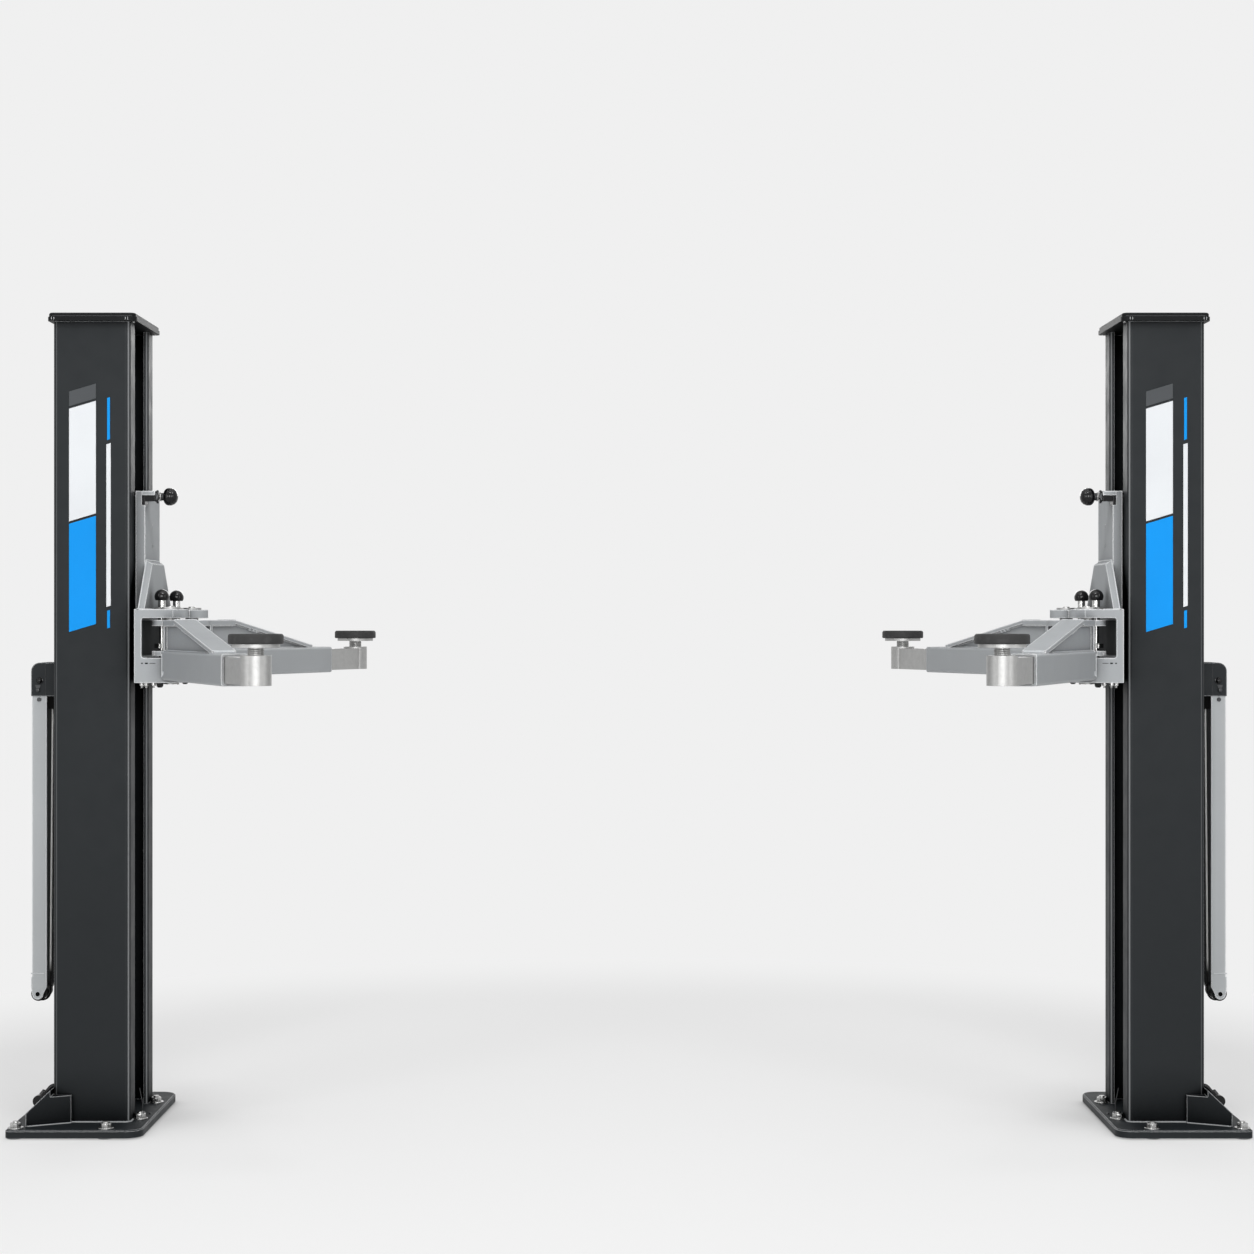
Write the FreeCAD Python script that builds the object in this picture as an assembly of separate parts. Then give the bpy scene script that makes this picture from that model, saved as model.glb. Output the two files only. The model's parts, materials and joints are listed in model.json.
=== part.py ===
import FreeCAD, Part
import math
import os

# A two post car lift. Millimetres, X across the bay, Y from front to back, Z up.
# The origin is on the floor midway between the posts. Every piece is drawn for the right
# post, on the +X side, and for its front half where the rear half repeats it; the left post
# and the rear pieces are mirror images.

# Column, a lipped channel that is open towards the bay
clear_width = 2490.0
column_depth = 192.0
column_width = 300.0
column_wall = 6.0
column_corner_r = 12.0
column_height = 1999.0
lip_width = 71.0

# Cap on the column
cap_t = 20.0
cap_overhang = 13.0
cap_overhang_in = 17.0
cap_corner_r = 18.0
cap_step = 2.5

# Base plate on round shims under its anchors
shim_t = 3.0
shim_r = 22.0
plate_t = 20.0
plate_length = 500.0
plate_reach_in = 46.0
plate_reach_out = 97.0
plate_corner_in_r = 40.0
plate_corner_out_r = 16.0
plate_bevel = 3.0
anchor_hole_r = 9.0
anchor_edge_x = 22.0
anchor_edge_y = 27.0
anchor_pitch_x = 222.0
inner_anchor_edge = 30.0
inner_anchor_pitch = 208.0

# Flanged gussets at the column's outer foot
gusset_t = 8.0
gusset_height = 69.0
gusset_lap = 47.0
gusset_run = 55.0
gusset_flare_deg = 25.3
gusset_slope_deg = 44.0
flange_t = 12.0
flange_width = 45.0

# Pipe union between the gussets
pipe_r = 6.0
pipe_bend_r = 16.0
pipe_height = 110.0
pipe_y = -128.0
pipe_fall_deg = 50.0
pipe_run = 14.0
union_nut_r = 12.0
union_nut_length = 14.0
union_cap_r = 15.0
union_cap_width = 22.0
union_overlap = 2.0

# Hood on the column's outer face
hood_bottom = 1083.0
hood_height = 85.0
hood_depth = 79.0
hood_width = 100.0
hood_wall = 2.0
hood_shoulder_r = 22.0

# Hanger bars under the hood, with a roller and a wire rope loop between them
bar_width = 37.0
bar_t = 6.0
sleeve_height = 25.0
sleeve_extra = 2.5
taper_height = 18.0
ear_end_r = 14.0
axle_height = 327.0
axle_from_bar = 23.0
axle_r = 3.6
roller_r = 18.5
roller_end_gap = 1.0
roller_edge_r = 2.0
rope_r = 2.5
boss_r = 15.5
boss_from_bar = 14.5
boss_drop = 43.0

# Carriage in the column, at the height of the photograph
carriage_bottom = 1120.0
carriage_height = 481.0
lip_gap = 3.0
channel_depth = 24.0
channel_width = 190.0
channel_t = 8.0
slide_inset = 10.0
slide_t = 8.0
pad_t = 10.5
pad_length = 80.0
pad_end = 5.0
slot_gap = 11.0
slot_web_t = 8.0

# Door bumper at the carriage's top
bumper_y = -80.0
bumper_axis_drop = 14.0
bar_reach = 25.0
bar_height = 11.0
bar_depth = 34.0
support_height = 15.0
cutout_height = 24.0
bumper_nut_r = 16.0
bumper_nut_t = 7.0
bumper_stem_r = 13.0
bumper_stem_length = 13.0
bumper_r = 22.5
bumper_length = 35.0
bumper_dome_r = 16.0

# Stiffener over the arm bracket
stiffener_t = 15.0
stiffener_height = 124.0
stiffener_top_width = 170.0
stiffener_edge = 9.0

# Arm bracket, two plates with the arm pivots between them
bracket_width = 376.0
bracket_back_t = 9.0
wing_t = 9.0
bracket_box_height = 62.0
bracket_window = 99.0
bracket_top_t = 22.0
bracket_nose_r = 42.0
box_nose_r = 40.0
window_fillet_r = 6.0
box_pocket_width = 150.0
box_wall = 10.0
pivot_reach = 65.0
pivot_pitch = 296.0
bush_r = 16.0
bush_height = 4.0

# Pivot pins
pivot_r = 17.0
pivot_head_r = 25.0
pivot_head_t = 5.0
pivot_tail = 4.0
thrust_r = 26.0

# Arms
arm_angle_deg = 67.5
arm_tube_width = 62.0
arm_tube_height = 73.0
arm_tube_wall = 6.0
arm_tube_corner_r = 6.0
arm_root = 46.0
arm_tube_end = 685.0
arm_top_width = 56.0
end_plate_t = 10.0
ear_r = 46.0
ear_gap = 5.0
upper_ear_t = 15.0
lower_ear_t = 12.0
ear_step = 1.0
slope_start = 170.0
slope_end = 580.0
slope_t = 10.0
slope_land = 6.0
web_t = 8.0
web_inset = 8.0

# Arm extensions and their screw pads
extension_wall = 5.0
extension_lap = 210.0
pad_distance = 880.0
socket_r = 34.0
screw_r = 17.0
screw_rise = 22.0
dish_r = 52.0
dish_t = 8.0
rubber_r = 60.0
rubber_t = 22.0
rubber_edge = 4.0

# Restraint pins, drawn lifted clear of the arms' teeth
tooth_count = 32
spare_teeth = 6
tooth_depth = 4.5
notch_width = 4.2
tooth_gap = 0.8
pin_offset_x = 31.0
pin_offset_y = 48.0
pin_r = 6.5
stem_r = 9.5
pin_travel = 18.0
pin_tail = 32.0
block_height = 11.0
block_reach = 66.0
block_half_deg = 15.0
block_gap = 1.0
knob_r = 18.5
knob_height = 28.0
knob_socket = 3.0

# Clearances
running_gap = 0.3
slide_gap = 0.5
knob_gap = 0.5
pivot_gap = 0.3
press_gap = 0.1
axle_gap = 0.15

# Levels and lines that follow from the sizes above
inner_x = clear_width / 2
outer_x = inner_x + column_depth
half_width = column_width / 2
slot_half = half_width - lip_width
plate_top = shim_t + plate_t
column_top = plate_top + column_height
plate_in_x = inner_x - plate_reach_in
plate_out_x = outer_x + plate_reach_out

panel_x = inner_x - lip_gap - channel_depth
carriage_top = carriage_bottom + carriage_height
bracket_face_x = panel_x - bracket_back_t
box_top = carriage_bottom + bracket_box_height
shelf_bottom = box_top + bracket_window
shelf_top = shelf_bottom + bracket_top_t
pivot_x = bracket_face_x - pivot_reach
pivot_y = -pivot_pitch / 2

lower_ear_bottom = box_top + ear_gap
lower_ear_top = lower_ear_bottom + lower_ear_t
upper_ear_top = shelf_bottom - ear_gap
upper_ear_bottom = upper_ear_top - upper_ear_t
arm_tube_top = lower_ear_top + ear_step
arm_tube_bottom = arm_tube_top - arm_tube_height
tooth_pitch_deg = 360.0 / tooth_count


def point(x, y, z):
    return FreeCAD.Vector(x, y, z)


def block(x0, x1, y0, y1, z0, z1):
    return Part.makeBox(x1 - x0, y1 - y0, z1 - z0, point(x0, y0, z0))


def rod(r, start, end):
    along = end.sub(start)
    return Part.makeCylinder(r, along.Length, start, along)


def prism(points, direction):
    return Part.Face(Part.makePolygon(points + [points[0]])).extrude(direction)


def fuse(pieces):
    whole = pieces[0].multiFuse(pieces[1:])
    return whole.removeSplitter()


def edges_along(shape, axis):
    """Straight edges that run along the given direction."""
    found = []
    for edge in shape.Edges:
        line = edge.Vertexes[-1].Point.sub(edge.Vertexes[0].Point)
        if line.Length > 0 and line.cross(axis).Length < 0.001 * line.Length:
            found.append(edge)
    return found


def rounded_block(x0, x1, y0, y1, z0, z1, r):
    """A block whose upright edges are rounded."""
    plain = block(x0, x1, y0, y1, z0, z1)
    return plain.makeFillet(r, edges_along(plain, point(0, 0, 1)))


def top_edges(shape, z):
    return [e for e in shape.Edges if abs(e.BoundBox.ZMin - z) < 0.01 and abs(e.BoundBox.ZMax - z) < 0.01]


def rear(shape):
    return shape.mirror(point(0, 0, 0), point(0, 1, 0))


def left(shape):
    return shape.mirror(point(0, 0, 0), point(1, 0, 0))


def anchor_places():
    """Centres of the base plate's six anchor holes."""
    outer = plate_out_x - anchor_edge_x
    side = plate_length / 2 - anchor_edge_y
    inner = plate_in_x + inner_anchor_edge
    places = []
    for sign in (-1, 1):
        places.append((outer, sign * side))
        places.append((outer - anchor_pitch_x, sign * side))
        places.append((inner, sign * inner_anchor_pitch / 2))
    return places


def column():
    """A channel whose lips end in a quarter bend beside the slot."""
    outer = rounded_block(inner_x, outer_x, -half_width, half_width, plate_top, column_top, column_corner_r)
    bore = rounded_block(inner_x + column_wall, outer_x - column_wall, -half_width + column_wall,
                         half_width - column_wall, plate_top, column_top, column_corner_r - column_wall)
    edge_y = slot_half + column_corner_r
    slot = block(inner_x, inner_x + column_wall, -edge_y, edge_y, plate_top, column_top)
    foot = point(inner_x + column_corner_r, -edge_y, plate_top)
    head = point(foot.x, foot.y, column_top)
    bend = rod(column_corner_r, foot, head).cut(rod(column_corner_r - column_wall, foot, head))
    bend = bend.common(block(inner_x, foot.x, -edge_y, -slot_half, plate_top, column_top))
    return fuse([outer.cut(bore).cut(slot), bend, rear(bend)])


def cap():
    """Moulded cap: a broad lower step and a slightly smaller bevelled upper one."""
    x0 = inner_x - cap_overhang_in
    x1 = outer_x + cap_overhang
    y1 = half_width + cap_overhang
    middle = column_top + cap_t / 2
    top = column_top + cap_t
    lower = rounded_block(x0, x1, -y1, y1, column_top, middle, cap_corner_r)
    upper = rounded_block(x0 + cap_step, x1 - cap_step, -y1 + cap_step, y1 - cap_step, middle, top,
                          cap_corner_r - cap_step)
    upper = upper.makeChamfer(cap_step, top_edges(upper, top))
    return fuse([lower, upper])


def base_plate():
    y1 = plate_length / 2
    plain = block(plate_in_x, plate_out_x, -y1, y1, shim_t, plate_top)
    uprights = edges_along(plain, point(0, 0, 1))
    inside = [e for e in uprights if e.Vertexes[0].X < inner_x]
    plate = plain.makeFillet(plate_corner_in_r, inside)
    outside = [e for e in edges_along(plate, point(0, 0, 1)) if e.Vertexes[0].X > plate_out_x - 0.01]
    plate = plate.makeFillet(plate_corner_out_r, outside)
    plate = plate.makeChamfer(plate_bevel, top_edges(plate, plate_top))
    shims = [rod(shim_r, point(x, y, 0), point(x, y, shim_t)) for x, y in anchor_places()]
    whole = fuse([plate] + shims)
    for x, y in anchor_places():
        whole = whole.cut(rod(anchor_hole_r, point(x, y, 0), point(x, y, plate_top)))
    return whole


def foot_gusset():
    """A flared plate beside the column's front face, with a flange along its sloping edge."""
    flare = math.tan(math.radians(gusset_flare_deg))
    x0 = outer_x - gusset_lap
    x1 = outer_x + gusset_run
    face_y = -half_width - gusset_t
    top = plate_top + gusset_height
    skin = gusset_t / math.cos(math.radians(gusset_flare_deg))

    def front_y(x):
        return face_y - (x - x0) * flare

    plan = [point(x0, front_y(x0), plate_top), point(x1, front_y(x1), plate_top),
            point(x1, front_y(x1) + skin, plate_top), point(outer_x, front_y(outer_x) + skin, plate_top),
            point(x0, -half_width, plate_top)]
    upright = prism(plan, point(0, 0, gusset_height))
    lid_x = outer_x + gusset_t
    lid = prism([point(x0, front_y(x0), top - gusset_t), point(lid_x, front_y(lid_x), top - gusset_t),
                 point(lid_x, -half_width, top - gusset_t), point(x0, -half_width, top - gusset_t)],
                point(0, 0, gusset_t))
    slope = math.tan(math.radians(gusset_slope_deg))
    rise = flange_t / math.cos(math.radians(gusset_slope_deg))

    def edge_z(x):
        return top - (x - outer_x) * slope

    above = prism([point(outer_x, -plate_length, top), point(x1 + flange_t, -plate_length, edge_z(x1 + flange_t)),
                   point(x1 + flange_t, -plate_length, top + rise), point(outer_x, -plate_length, top + rise)],
                  point(0, plate_length, 0))
    strip = prism([point(outer_x, -plate_length, top), point(x1, -plate_length, edge_z(x1)),
                   point(x1, -plate_length, edge_z(x1) + rise), point(outer_x, -plate_length, top + rise)],
                  point(0, plate_length, 0))
    width = prism([point(outer_x, front_y(outer_x), 0), point(x1, front_y(x1), 0),
                   point(x1, front_y(x1) + flange_width, 0), point(outer_x, front_y(outer_x) + flange_width, 0)],
                  point(0, 0, top + rise))
    return fuse([upright.cut(above), lid.cut(above), strip.common(width)])


def hexagon_rod(r, start, along, length):
    turn = FreeCAD.Rotation(point(0, 0, 1), along)
    corners = []
    for step in range(6):
        angle = math.radians(60 * step)
        corners.append(start.add(turn.multVec(point(r * math.cos(angle), r * math.sin(angle), 0))))
    return prism(corners, point(along.x, along.y, along.z).multiply(length))


def pipe_union():
    """A pipe that leaves the column's outer face, turns down and ends in a nut and a round cap."""
    fall = math.radians(pipe_fall_deg)
    start = point(outer_x, pipe_y, pipe_height)
    bend_centre = point(outer_x, pipe_y, pipe_height - pipe_bend_r)
    mouth = Part.Face(Part.Wire(Part.makeCircle(pipe_r, start, point(1, 0, 0))))
    bend = mouth.revolve(bend_centre, point(0, 1, 0), pipe_fall_deg)
    bend_end = bend_centre.add(point(pipe_bend_r * math.sin(fall), 0, pipe_bend_r * math.cos(fall)))
    along = point(math.cos(fall), 0, -math.sin(fall))
    nut_start = bend_end.add(point(along.x, 0, along.z).multiply(pipe_run))
    nut = hexagon_rod(union_nut_r, nut_start, along, union_nut_length)
    cap_centre = nut_start.add(point(along.x, 0, along.z).multiply(union_nut_length + union_cap_r - union_overlap))
    stub = rod(pipe_r, bend_end, cap_centre)
    half = point(0, union_cap_width / 2, 0)
    end = rod(union_cap_r, cap_centre.sub(half), cap_centre.add(half))
    return fuse([bend, stub, nut, end])


def hood():
    """Sheet hood, open below and against the column."""
    top = hood_bottom + hood_height
    tip = outer_x + hood_depth
    half = hood_width / 2
    shell = block(outer_x, tip, -half, half, hood_bottom, top)
    shoulder = [e for e in edges_along(shell, point(0, 1, 0))
                if e.Vertexes[0].X > tip - 1 and e.Vertexes[0].Z > top - 1]
    shell = shell.makeFillet(hood_shoulder_r, shoulder)
    room = block(outer_x, tip - hood_wall, -half + hood_wall, half - hood_wall, hood_bottom, top - hood_wall)
    inner = [e for e in edges_along(room, point(0, 1, 0))
             if e.Vertexes[0].X > tip - hood_wall - 1 and e.Vertexes[0].Z > top - hood_wall - 1]
    return shell.cut(room.makeFillet(hood_shoulder_r - hood_wall, inner))


def hanger_lines():
    """Inner and outer edge of the hanger bars, their axle and the boss under the hood."""
    bar_in = outer_x + hood_depth - hood_wall - bar_width
    axle = point(bar_in + axle_from_bar, 0, axle_height)
    boss = point(bar_in + boss_from_bar, 0, hood_bottom + hood_height - boss_drop)
    return bar_in, bar_in + bar_width, axle, boss


def roller_hanger():
    """Two flat bars that hang inside the hood, tied by a boss and holding the roller's axle."""
    bar_in, bar_out, axle, boss = hanger_lines()
    outside = hood_width / 2 - hood_wall
    inside = outside - bar_t
    taper_z = axle_height + taper_height
    sleeve_top = taper_z + sleeve_height
    bar_top = hood_bottom + hood_height - hood_shoulder_r
    outline = [point(bar_in, -outside, bar_top), point(bar_in, -outside, taper_z),
               point(axle.x - ear_end_r, -outside, axle_height), point(axle.x + ear_end_r, -outside, axle_height),
               point(bar_out + sleeve_extra, -outside, taper_z), point(bar_out + sleeve_extra, -outside, sleeve_top),
               point(bar_out, -outside, sleeve_top + sleeve_extra), point(bar_out, -outside, bar_top)]
    front = prism(outline, point(0, bar_t, 0))
    ear = rod(ear_end_r, point(axle.x, -outside, axle.z), point(axle.x, -inside, axle.z))
    hole = rod(axle_r + axle_gap, point(axle.x, -outside, axle.z), point(axle.x, -inside, axle.z))
    front = fuse([front, ear]).cut(hole)
    tie = rod(boss_r, point(boss.x, -inside, boss.z), point(boss.x, inside, boss.z))
    return fuse([front, rear(front), tie])


def return_roller():
    bar_in, bar_out, axle, boss = hanger_lines()
    outside = hood_width / 2 - hood_wall
    half = outside - bar_t - roller_end_gap
    drum = rod(roller_r, point(axle.x, -half, axle.z), point(axle.x, half, axle.z))
    rims = [e for e in drum.Edges if len(e.Vertexes) == 1]
    drum = drum.makeFillet(roller_edge_r, rims)
    shaft = rod(axle_r, point(axle.x, -outside, axle.z), point(axle.x, outside, axle.z))
    return fuse([drum, shaft])


def rope_bend(centre, start, turn_deg):
    mouth = Part.Face(Part.Wire(Part.makeCircle(rope_r, start, point(0, 0, 1))))
    level = start.sub(centre)
    tilt = math.degrees(math.atan2(level.z, abs(level.x)))
    mouth.rotate(start, point(0, 1, 0), -tilt if level.x > 0 else tilt)
    return mouth.revolve(centre, point(0, 1, 0), turn_deg)


def rope_loop():
    """A closed loop round the roller and the boss, each bend an arc and each run straight."""
    bar_in, bar_out, axle, boss = hanger_lines()
    low_r = roller_r + running_gap + rope_r
    high_r = boss_r + running_gap + rope_r
    along = boss.sub(axle)
    length = along.Length
    along = along.multiply(1 / length)
    across = point(along.z, 0, -along.x)
    lean = (low_r - high_r) / length
    side = math.sqrt(1 - lean * lean)
    outward = point(along.x * lean + across.x * side, 0, along.z * lean + across.z * side)
    inward = point(along.x * lean - across.x * side, 0, along.z * lean - across.z * side)
    wrap = math.degrees(2 * math.acos(lean))

    def on(centre, normal, r):
        return point(centre.x + normal.x * r, 0, centre.z + normal.z * r)

    outer_run = rod(rope_r, on(axle, outward, low_r), on(boss, outward, high_r))
    inner_run = rod(rope_r, on(axle, inward, low_r), on(boss, inward, high_r))
    lower = rope_bend(axle, on(axle, outward, low_r), 360 - wrap)
    upper = rope_bend(boss, on(boss, inward, high_r), wrap)
    return fuse([outer_run, inner_run, lower, upper])


def slide_box():
    """Outer faces of the carriage's tube inside the column."""
    x0 = inner_x + column_wall + slide_gap + pad_t
    x1 = outer_x - column_wall - slide_gap - pad_t
    y1 = half_width - column_wall - slide_gap - pad_t
    return x0, x1, y1, carriage_bottom + slide_inset, carriage_top - slide_inset


def carriage():
    """A channel outside the slot, two webs through it and a square tube in the column."""
    half = channel_width / 2
    x0, x1, y1, z0, z1 = slide_box()
    channel = block(panel_x, panel_x + channel_depth, -half, half, carriage_bottom, carriage_top)
    hollow = block(panel_x + channel_t, panel_x + channel_depth, -half + channel_t, half - channel_t,
                   carriage_bottom, carriage_top)
    channel = channel.cut(hollow)
    tube = rounded_block(x0, x1, -y1, y1, z0, z1, slide_t)
    tube = tube.cut(block(x0 + slide_t, x1 - slide_t, -y1 + slide_t, y1 - slide_t, z0, z1))
    web_y = slot_half - slot_gap
    web = block(panel_x + channel_t, x0 + slide_t, -web_y, -web_y + slot_web_t, z0, z1)
    bar = block(panel_x - bar_reach, panel_x + channel_t, bumper_y - bar_depth / 2, bumper_y + bar_depth / 2,
                carriage_top - bar_height, carriage_top)
    support_top = carriage_top - bar_height
    cutout = block(panel_x, panel_x + channel_t, -half, bumper_y + bar_depth / 2,
                   support_top - cutout_height, support_top)
    return fuse([channel.cut(cutout), tube, web, rear(web), bar])


def slide_pads():
    """Plastic pads near the carriage's ends, on all four sides of its tube."""
    x0, x1, y1, z0, z1 = slide_box()
    pads = []
    for low in (z0 + pad_end, z1 - pad_end - pad_length):
        high = low + pad_length
        side = block(x0 + pad_t, x1 - pad_t, -y1 - pad_t, -y1, low, high)
        lip = block(x0 - pad_t, x0, -y1 + slide_t, -slot_half - column_corner_r - slide_gap * 2, low, high)
        back = block(x1, x1 + pad_t, -slot_half, slot_half, low, high)
        pads += [side, rear(side), lip, rear(lip), back]
    return Part.makeCompound(pads)


def door_bumper():
    """A support bar footed in the channel, with a nut, a stem and a domed rubber head on one axis."""
    face = panel_x - bar_reach
    z = carriage_top - bumper_axis_drop
    nut_end = face - bumper_nut_t
    stem_end = nut_end - bumper_stem_length
    tip = stem_end - bumper_length
    support_top = carriage_top - bar_height
    support = block(face, panel_x, bumper_y - bar_depth / 2, bumper_y + bar_depth / 2,
                    support_top - support_height, support_top)
    foot = block(panel_x, panel_x + channel_t, bumper_y - bar_depth / 2, bumper_y + bar_depth / 2,
                 support_top - cutout_height, support_top)
    nut = rod(bumper_nut_r, point(face, bumper_y, z), point(nut_end, bumper_y, z))
    stem = rod(bumper_stem_r, point(nut_end, bumper_y, z), point(stem_end, bumper_y, z))
    head = rod(bumper_r, point(stem_end, bumper_y, z), point(tip, bumper_y, z))
    front_rim = [e for e in head.Edges if len(e.Vertexes) == 1 and e.BoundBox.XMax < tip + 1]
    head = head.makeFillet(bumper_dome_r, front_rim)
    back_rim = [e for e in head.Edges if len(e.Vertexes) == 1 and e.BoundBox.XMin > stem_end - 1]
    head = head.makeFillet(bumper_r - bumper_dome_r, back_rim)
    return fuse([support, foot, nut, stem, head])


def stiffener():
    """A tapered plate over the bracket, bevelled on all its front edges."""
    wide = bracket_width / 2
    narrow = stiffener_top_width / 2
    top = shelf_top + stiffener_height

    def outline(x, inset):
        corners = [point(x, -wide + inset, shelf_top), point(x, wide - inset, shelf_top),
                   point(x, narrow - inset, top - inset), point(x, -narrow + inset, top - inset)]
        return Part.makePolygon(corners + [corners[0]])

    return Part.makeLoft([outline(panel_x, 0), outline(panel_x - stiffener_t, stiffener_edge)], True, True)


def restraint_axis():
    """Axis of the front restraint pin."""
    return pivot_x + pin_offset_x, pivot_y + pin_offset_y


def nosed_plate(nose_r, z0, z1):
    """A plate from the bracket's back to round noses about the two pivots."""
    half = bracket_width / 2
    body = block(pivot_x, panel_x, -half, half, z0, z1)
    noses = []
    for y in (pivot_y, -pivot_y):
        nose = rod(nose_r, point(pivot_x, y, z0), point(pivot_x, y, z1))
        noses.append(nose.common(block(pivot_x - nose_r, pivot_x, -half, half, z0, z1)))
    return fuse([body] + noses)


def arm_bracket():
    """Back plate, box and top plate in one weldment, bored for the pivots and restraint pins."""
    half = bracket_width / 2
    back = block(bracket_face_x, panel_x, -half, half, carriage_bottom, shelf_top)
    box = nosed_plate(box_nose_r, carriage_bottom, box_top)
    shelf = nosed_plate(bracket_nose_r, shelf_bottom, shelf_top)
    wing = block(panel_x, panel_x + wing_t, -half, -channel_width / 2, carriage_bottom, shelf_top)
    whole = fuse([back, box, shelf, wing, rear(wing)])
    corners = [e for e in edges_along(whole, point(0, 1, 0))
               if abs(e.Vertexes[0].X - bracket_face_x) < 0.01
               and (abs(e.Vertexes[0].Z - box_top) < 0.01 or abs(e.Vertexes[0].Z - shelf_bottom) < 0.01)]
    whole = whole.makeFillet(window_fillet_r, corners)
    pocket = block(pivot_x, bracket_face_x - box_wall, -box_pocket_width / 2, box_pocket_width / 2,
                   carriage_bottom, box_top - box_wall)
    whole = whole.cut(pocket)
    pin_x, pin_y = restraint_axis()
    for sign in (1, -1):
        bush = rod(bush_r, point(pin_x, sign * pin_y, shelf_top), point(pin_x, sign * pin_y, shelf_top + bush_height))
        whole = fuse([whole, bush])
        for x, y, r, z0, z1 in (
                (pivot_x, pivot_y, pivot_r + press_gap, carriage_bottom, shelf_top),
                (pin_x, pin_y, pin_r + running_gap, carriage_bottom, box_top),
                (pin_x, pin_y, stem_r + running_gap, shelf_bottom, shelf_top + bush_height)):
            whole = whole.cut(rod(r, point(x, sign * y, z0), point(x, sign * y, z1)))
    return whole


def pivot_pins():
    """Headed pins with a thrust collar under each arm."""
    shank = rod(pivot_r, point(pivot_x, pivot_y, carriage_bottom - pivot_tail), point(pivot_x, pivot_y, shelf_top))
    head = rod(pivot_head_r, point(pivot_x, pivot_y, shelf_top),
               point(pivot_x, pivot_y, shelf_top + pivot_head_t))
    collar = rod(thrust_r, point(pivot_x, pivot_y, box_top),
                 point(pivot_x, pivot_y, lower_ear_bottom - running_gap))
    front = fuse([shank, head, collar])
    return Part.makeCompound([front, rear(front)])


def placed_arm(shape):
    """Swings a piece that is drawn along +X from its pivot out to the front arm's rest angle."""
    shape = shape.copy()
    shape.rotate(point(0, 0, 0), point(0, 0, 1), 180 + arm_angle_deg)
    shape.translate(point(pivot_x, pivot_y, 0))
    return shape


def pin_angle_deg():
    """Direction from the pivot to the restraint pin, measured from the front arm."""
    return math.degrees(math.atan2(pin_offset_y, pin_offset_x)) - 180 - arm_angle_deg


def toothed_ear():
    """Lower ear, notched where the restraint pin meets it at any swing, and on round its outer side."""
    half = arm_tube_width / 2
    disc = rod(ear_r, point(0, 0, lower_ear_bottom), point(0, 0, lower_ear_top))
    neck = block(0, arm_root + end_plate_t, -half, half, lower_ear_bottom, lower_ear_top)
    ear = fuse([disc, neck])
    first = -int(round((90 - arm_angle_deg) / tooth_pitch_deg)) - 1 - spare_teeth
    last = int(round(arm_angle_deg / tooth_pitch_deg)) + 1
    for step in range(first, last + 1):
        notch = block(ear_r - tooth_depth, ear_r + tooth_depth, -notch_width / 2, notch_width / 2,
                      lower_ear_bottom, lower_ear_top)
        notch.rotate(point(0, 0, 0), point(0, 0, 1), pin_angle_deg() + step * tooth_pitch_deg)
        ear = ear.cut(notch)
    return ear


def arm():
    """Tube, end plate, two ears, inset webs and a sloping top plate in one weldment."""
    half = arm_tube_width / 2
    inner = half - arm_tube_wall
    tube = block(arm_root, arm_tube_end, -half, half, arm_tube_bottom, arm_tube_top)
    tube = tube.makeFillet(arm_tube_corner_r, edges_along(tube, point(1, 0, 0)))
    tube = tube.cut(block(arm_root + end_plate_t, arm_tube_end, -inner, inner,
                          arm_tube_bottom + arm_tube_wall, arm_tube_top - arm_tube_wall))
    top_half = arm_top_width / 2
    plate = block(arm_root, arm_root + end_plate_t, -top_half, top_half, arm_tube_top - arm_tube_wall,
                  upper_ear_top)
    disc = rod(ear_r, point(0, 0, upper_ear_bottom), point(0, 0, upper_ear_top))
    neck = block(0, slope_start, -top_half, top_half, upper_ear_bottom, upper_ear_top)
    slope_foot = arm_tube_top + slope_land
    fall = (upper_ear_top - slope_foot) / (slope_end - slope_start)
    under_end = slope_start + (upper_ear_top - slope_t - arm_tube_top) / fall
    slope = prism([point(slope_start, -top_half, upper_ear_top), point(slope_end, -top_half, slope_foot),
                   point(slope_end, -top_half, arm_tube_top), point(under_end, -top_half, arm_tube_top),
                   point(slope_start, -top_half, upper_ear_top - slope_t)], point(0, arm_top_width, 0))
    web_y = -top_half + web_inset
    web = prism([point(arm_root + end_plate_t, web_y, arm_tube_top), point(under_end, web_y, arm_tube_top),
                 point(slope_start, web_y, upper_ear_top - slope_t),
                 point(slope_start, web_y, upper_ear_bottom),
                 point(arm_root + end_plate_t, web_y, upper_ear_bottom)], point(0, web_t, 0))
    whole = fuse([tube, plate, disc, neck, toothed_ear(), slope, web, rear(web)])
    bore = rod(pivot_r + pivot_gap, point(0, 0, lower_ear_bottom), point(0, 0, upper_ear_top))
    return placed_arm(whole.cut(bore))


def extension():
    """Inner tube with a screw socket at its end, and the screw and dish that carry the pad."""
    half = arm_tube_width / 2 - arm_tube_wall - slide_gap
    low = arm_tube_bottom + arm_tube_wall
    high = arm_tube_top - arm_tube_wall - slide_gap
    start = arm_tube_end - extension_lap
    tube = block(start, pad_distance, -half, half, low, high)
    tube = tube.cut(block(start, pad_distance - socket_r, -half + extension_wall, half - extension_wall,
                          low + extension_wall, high - extension_wall))
    socket = rod(socket_r, point(pad_distance, 0, low), point(pad_distance, 0, high + extension_wall))
    screw = rod(screw_r, point(pad_distance, 0, low), point(pad_distance, 0, high + screw_rise))
    dish = rod(dish_r, point(pad_distance, 0, high + screw_rise),
               point(pad_distance, 0, high + screw_rise + dish_t))
    return placed_arm(fuse([tube, socket, screw, dish]))


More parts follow.
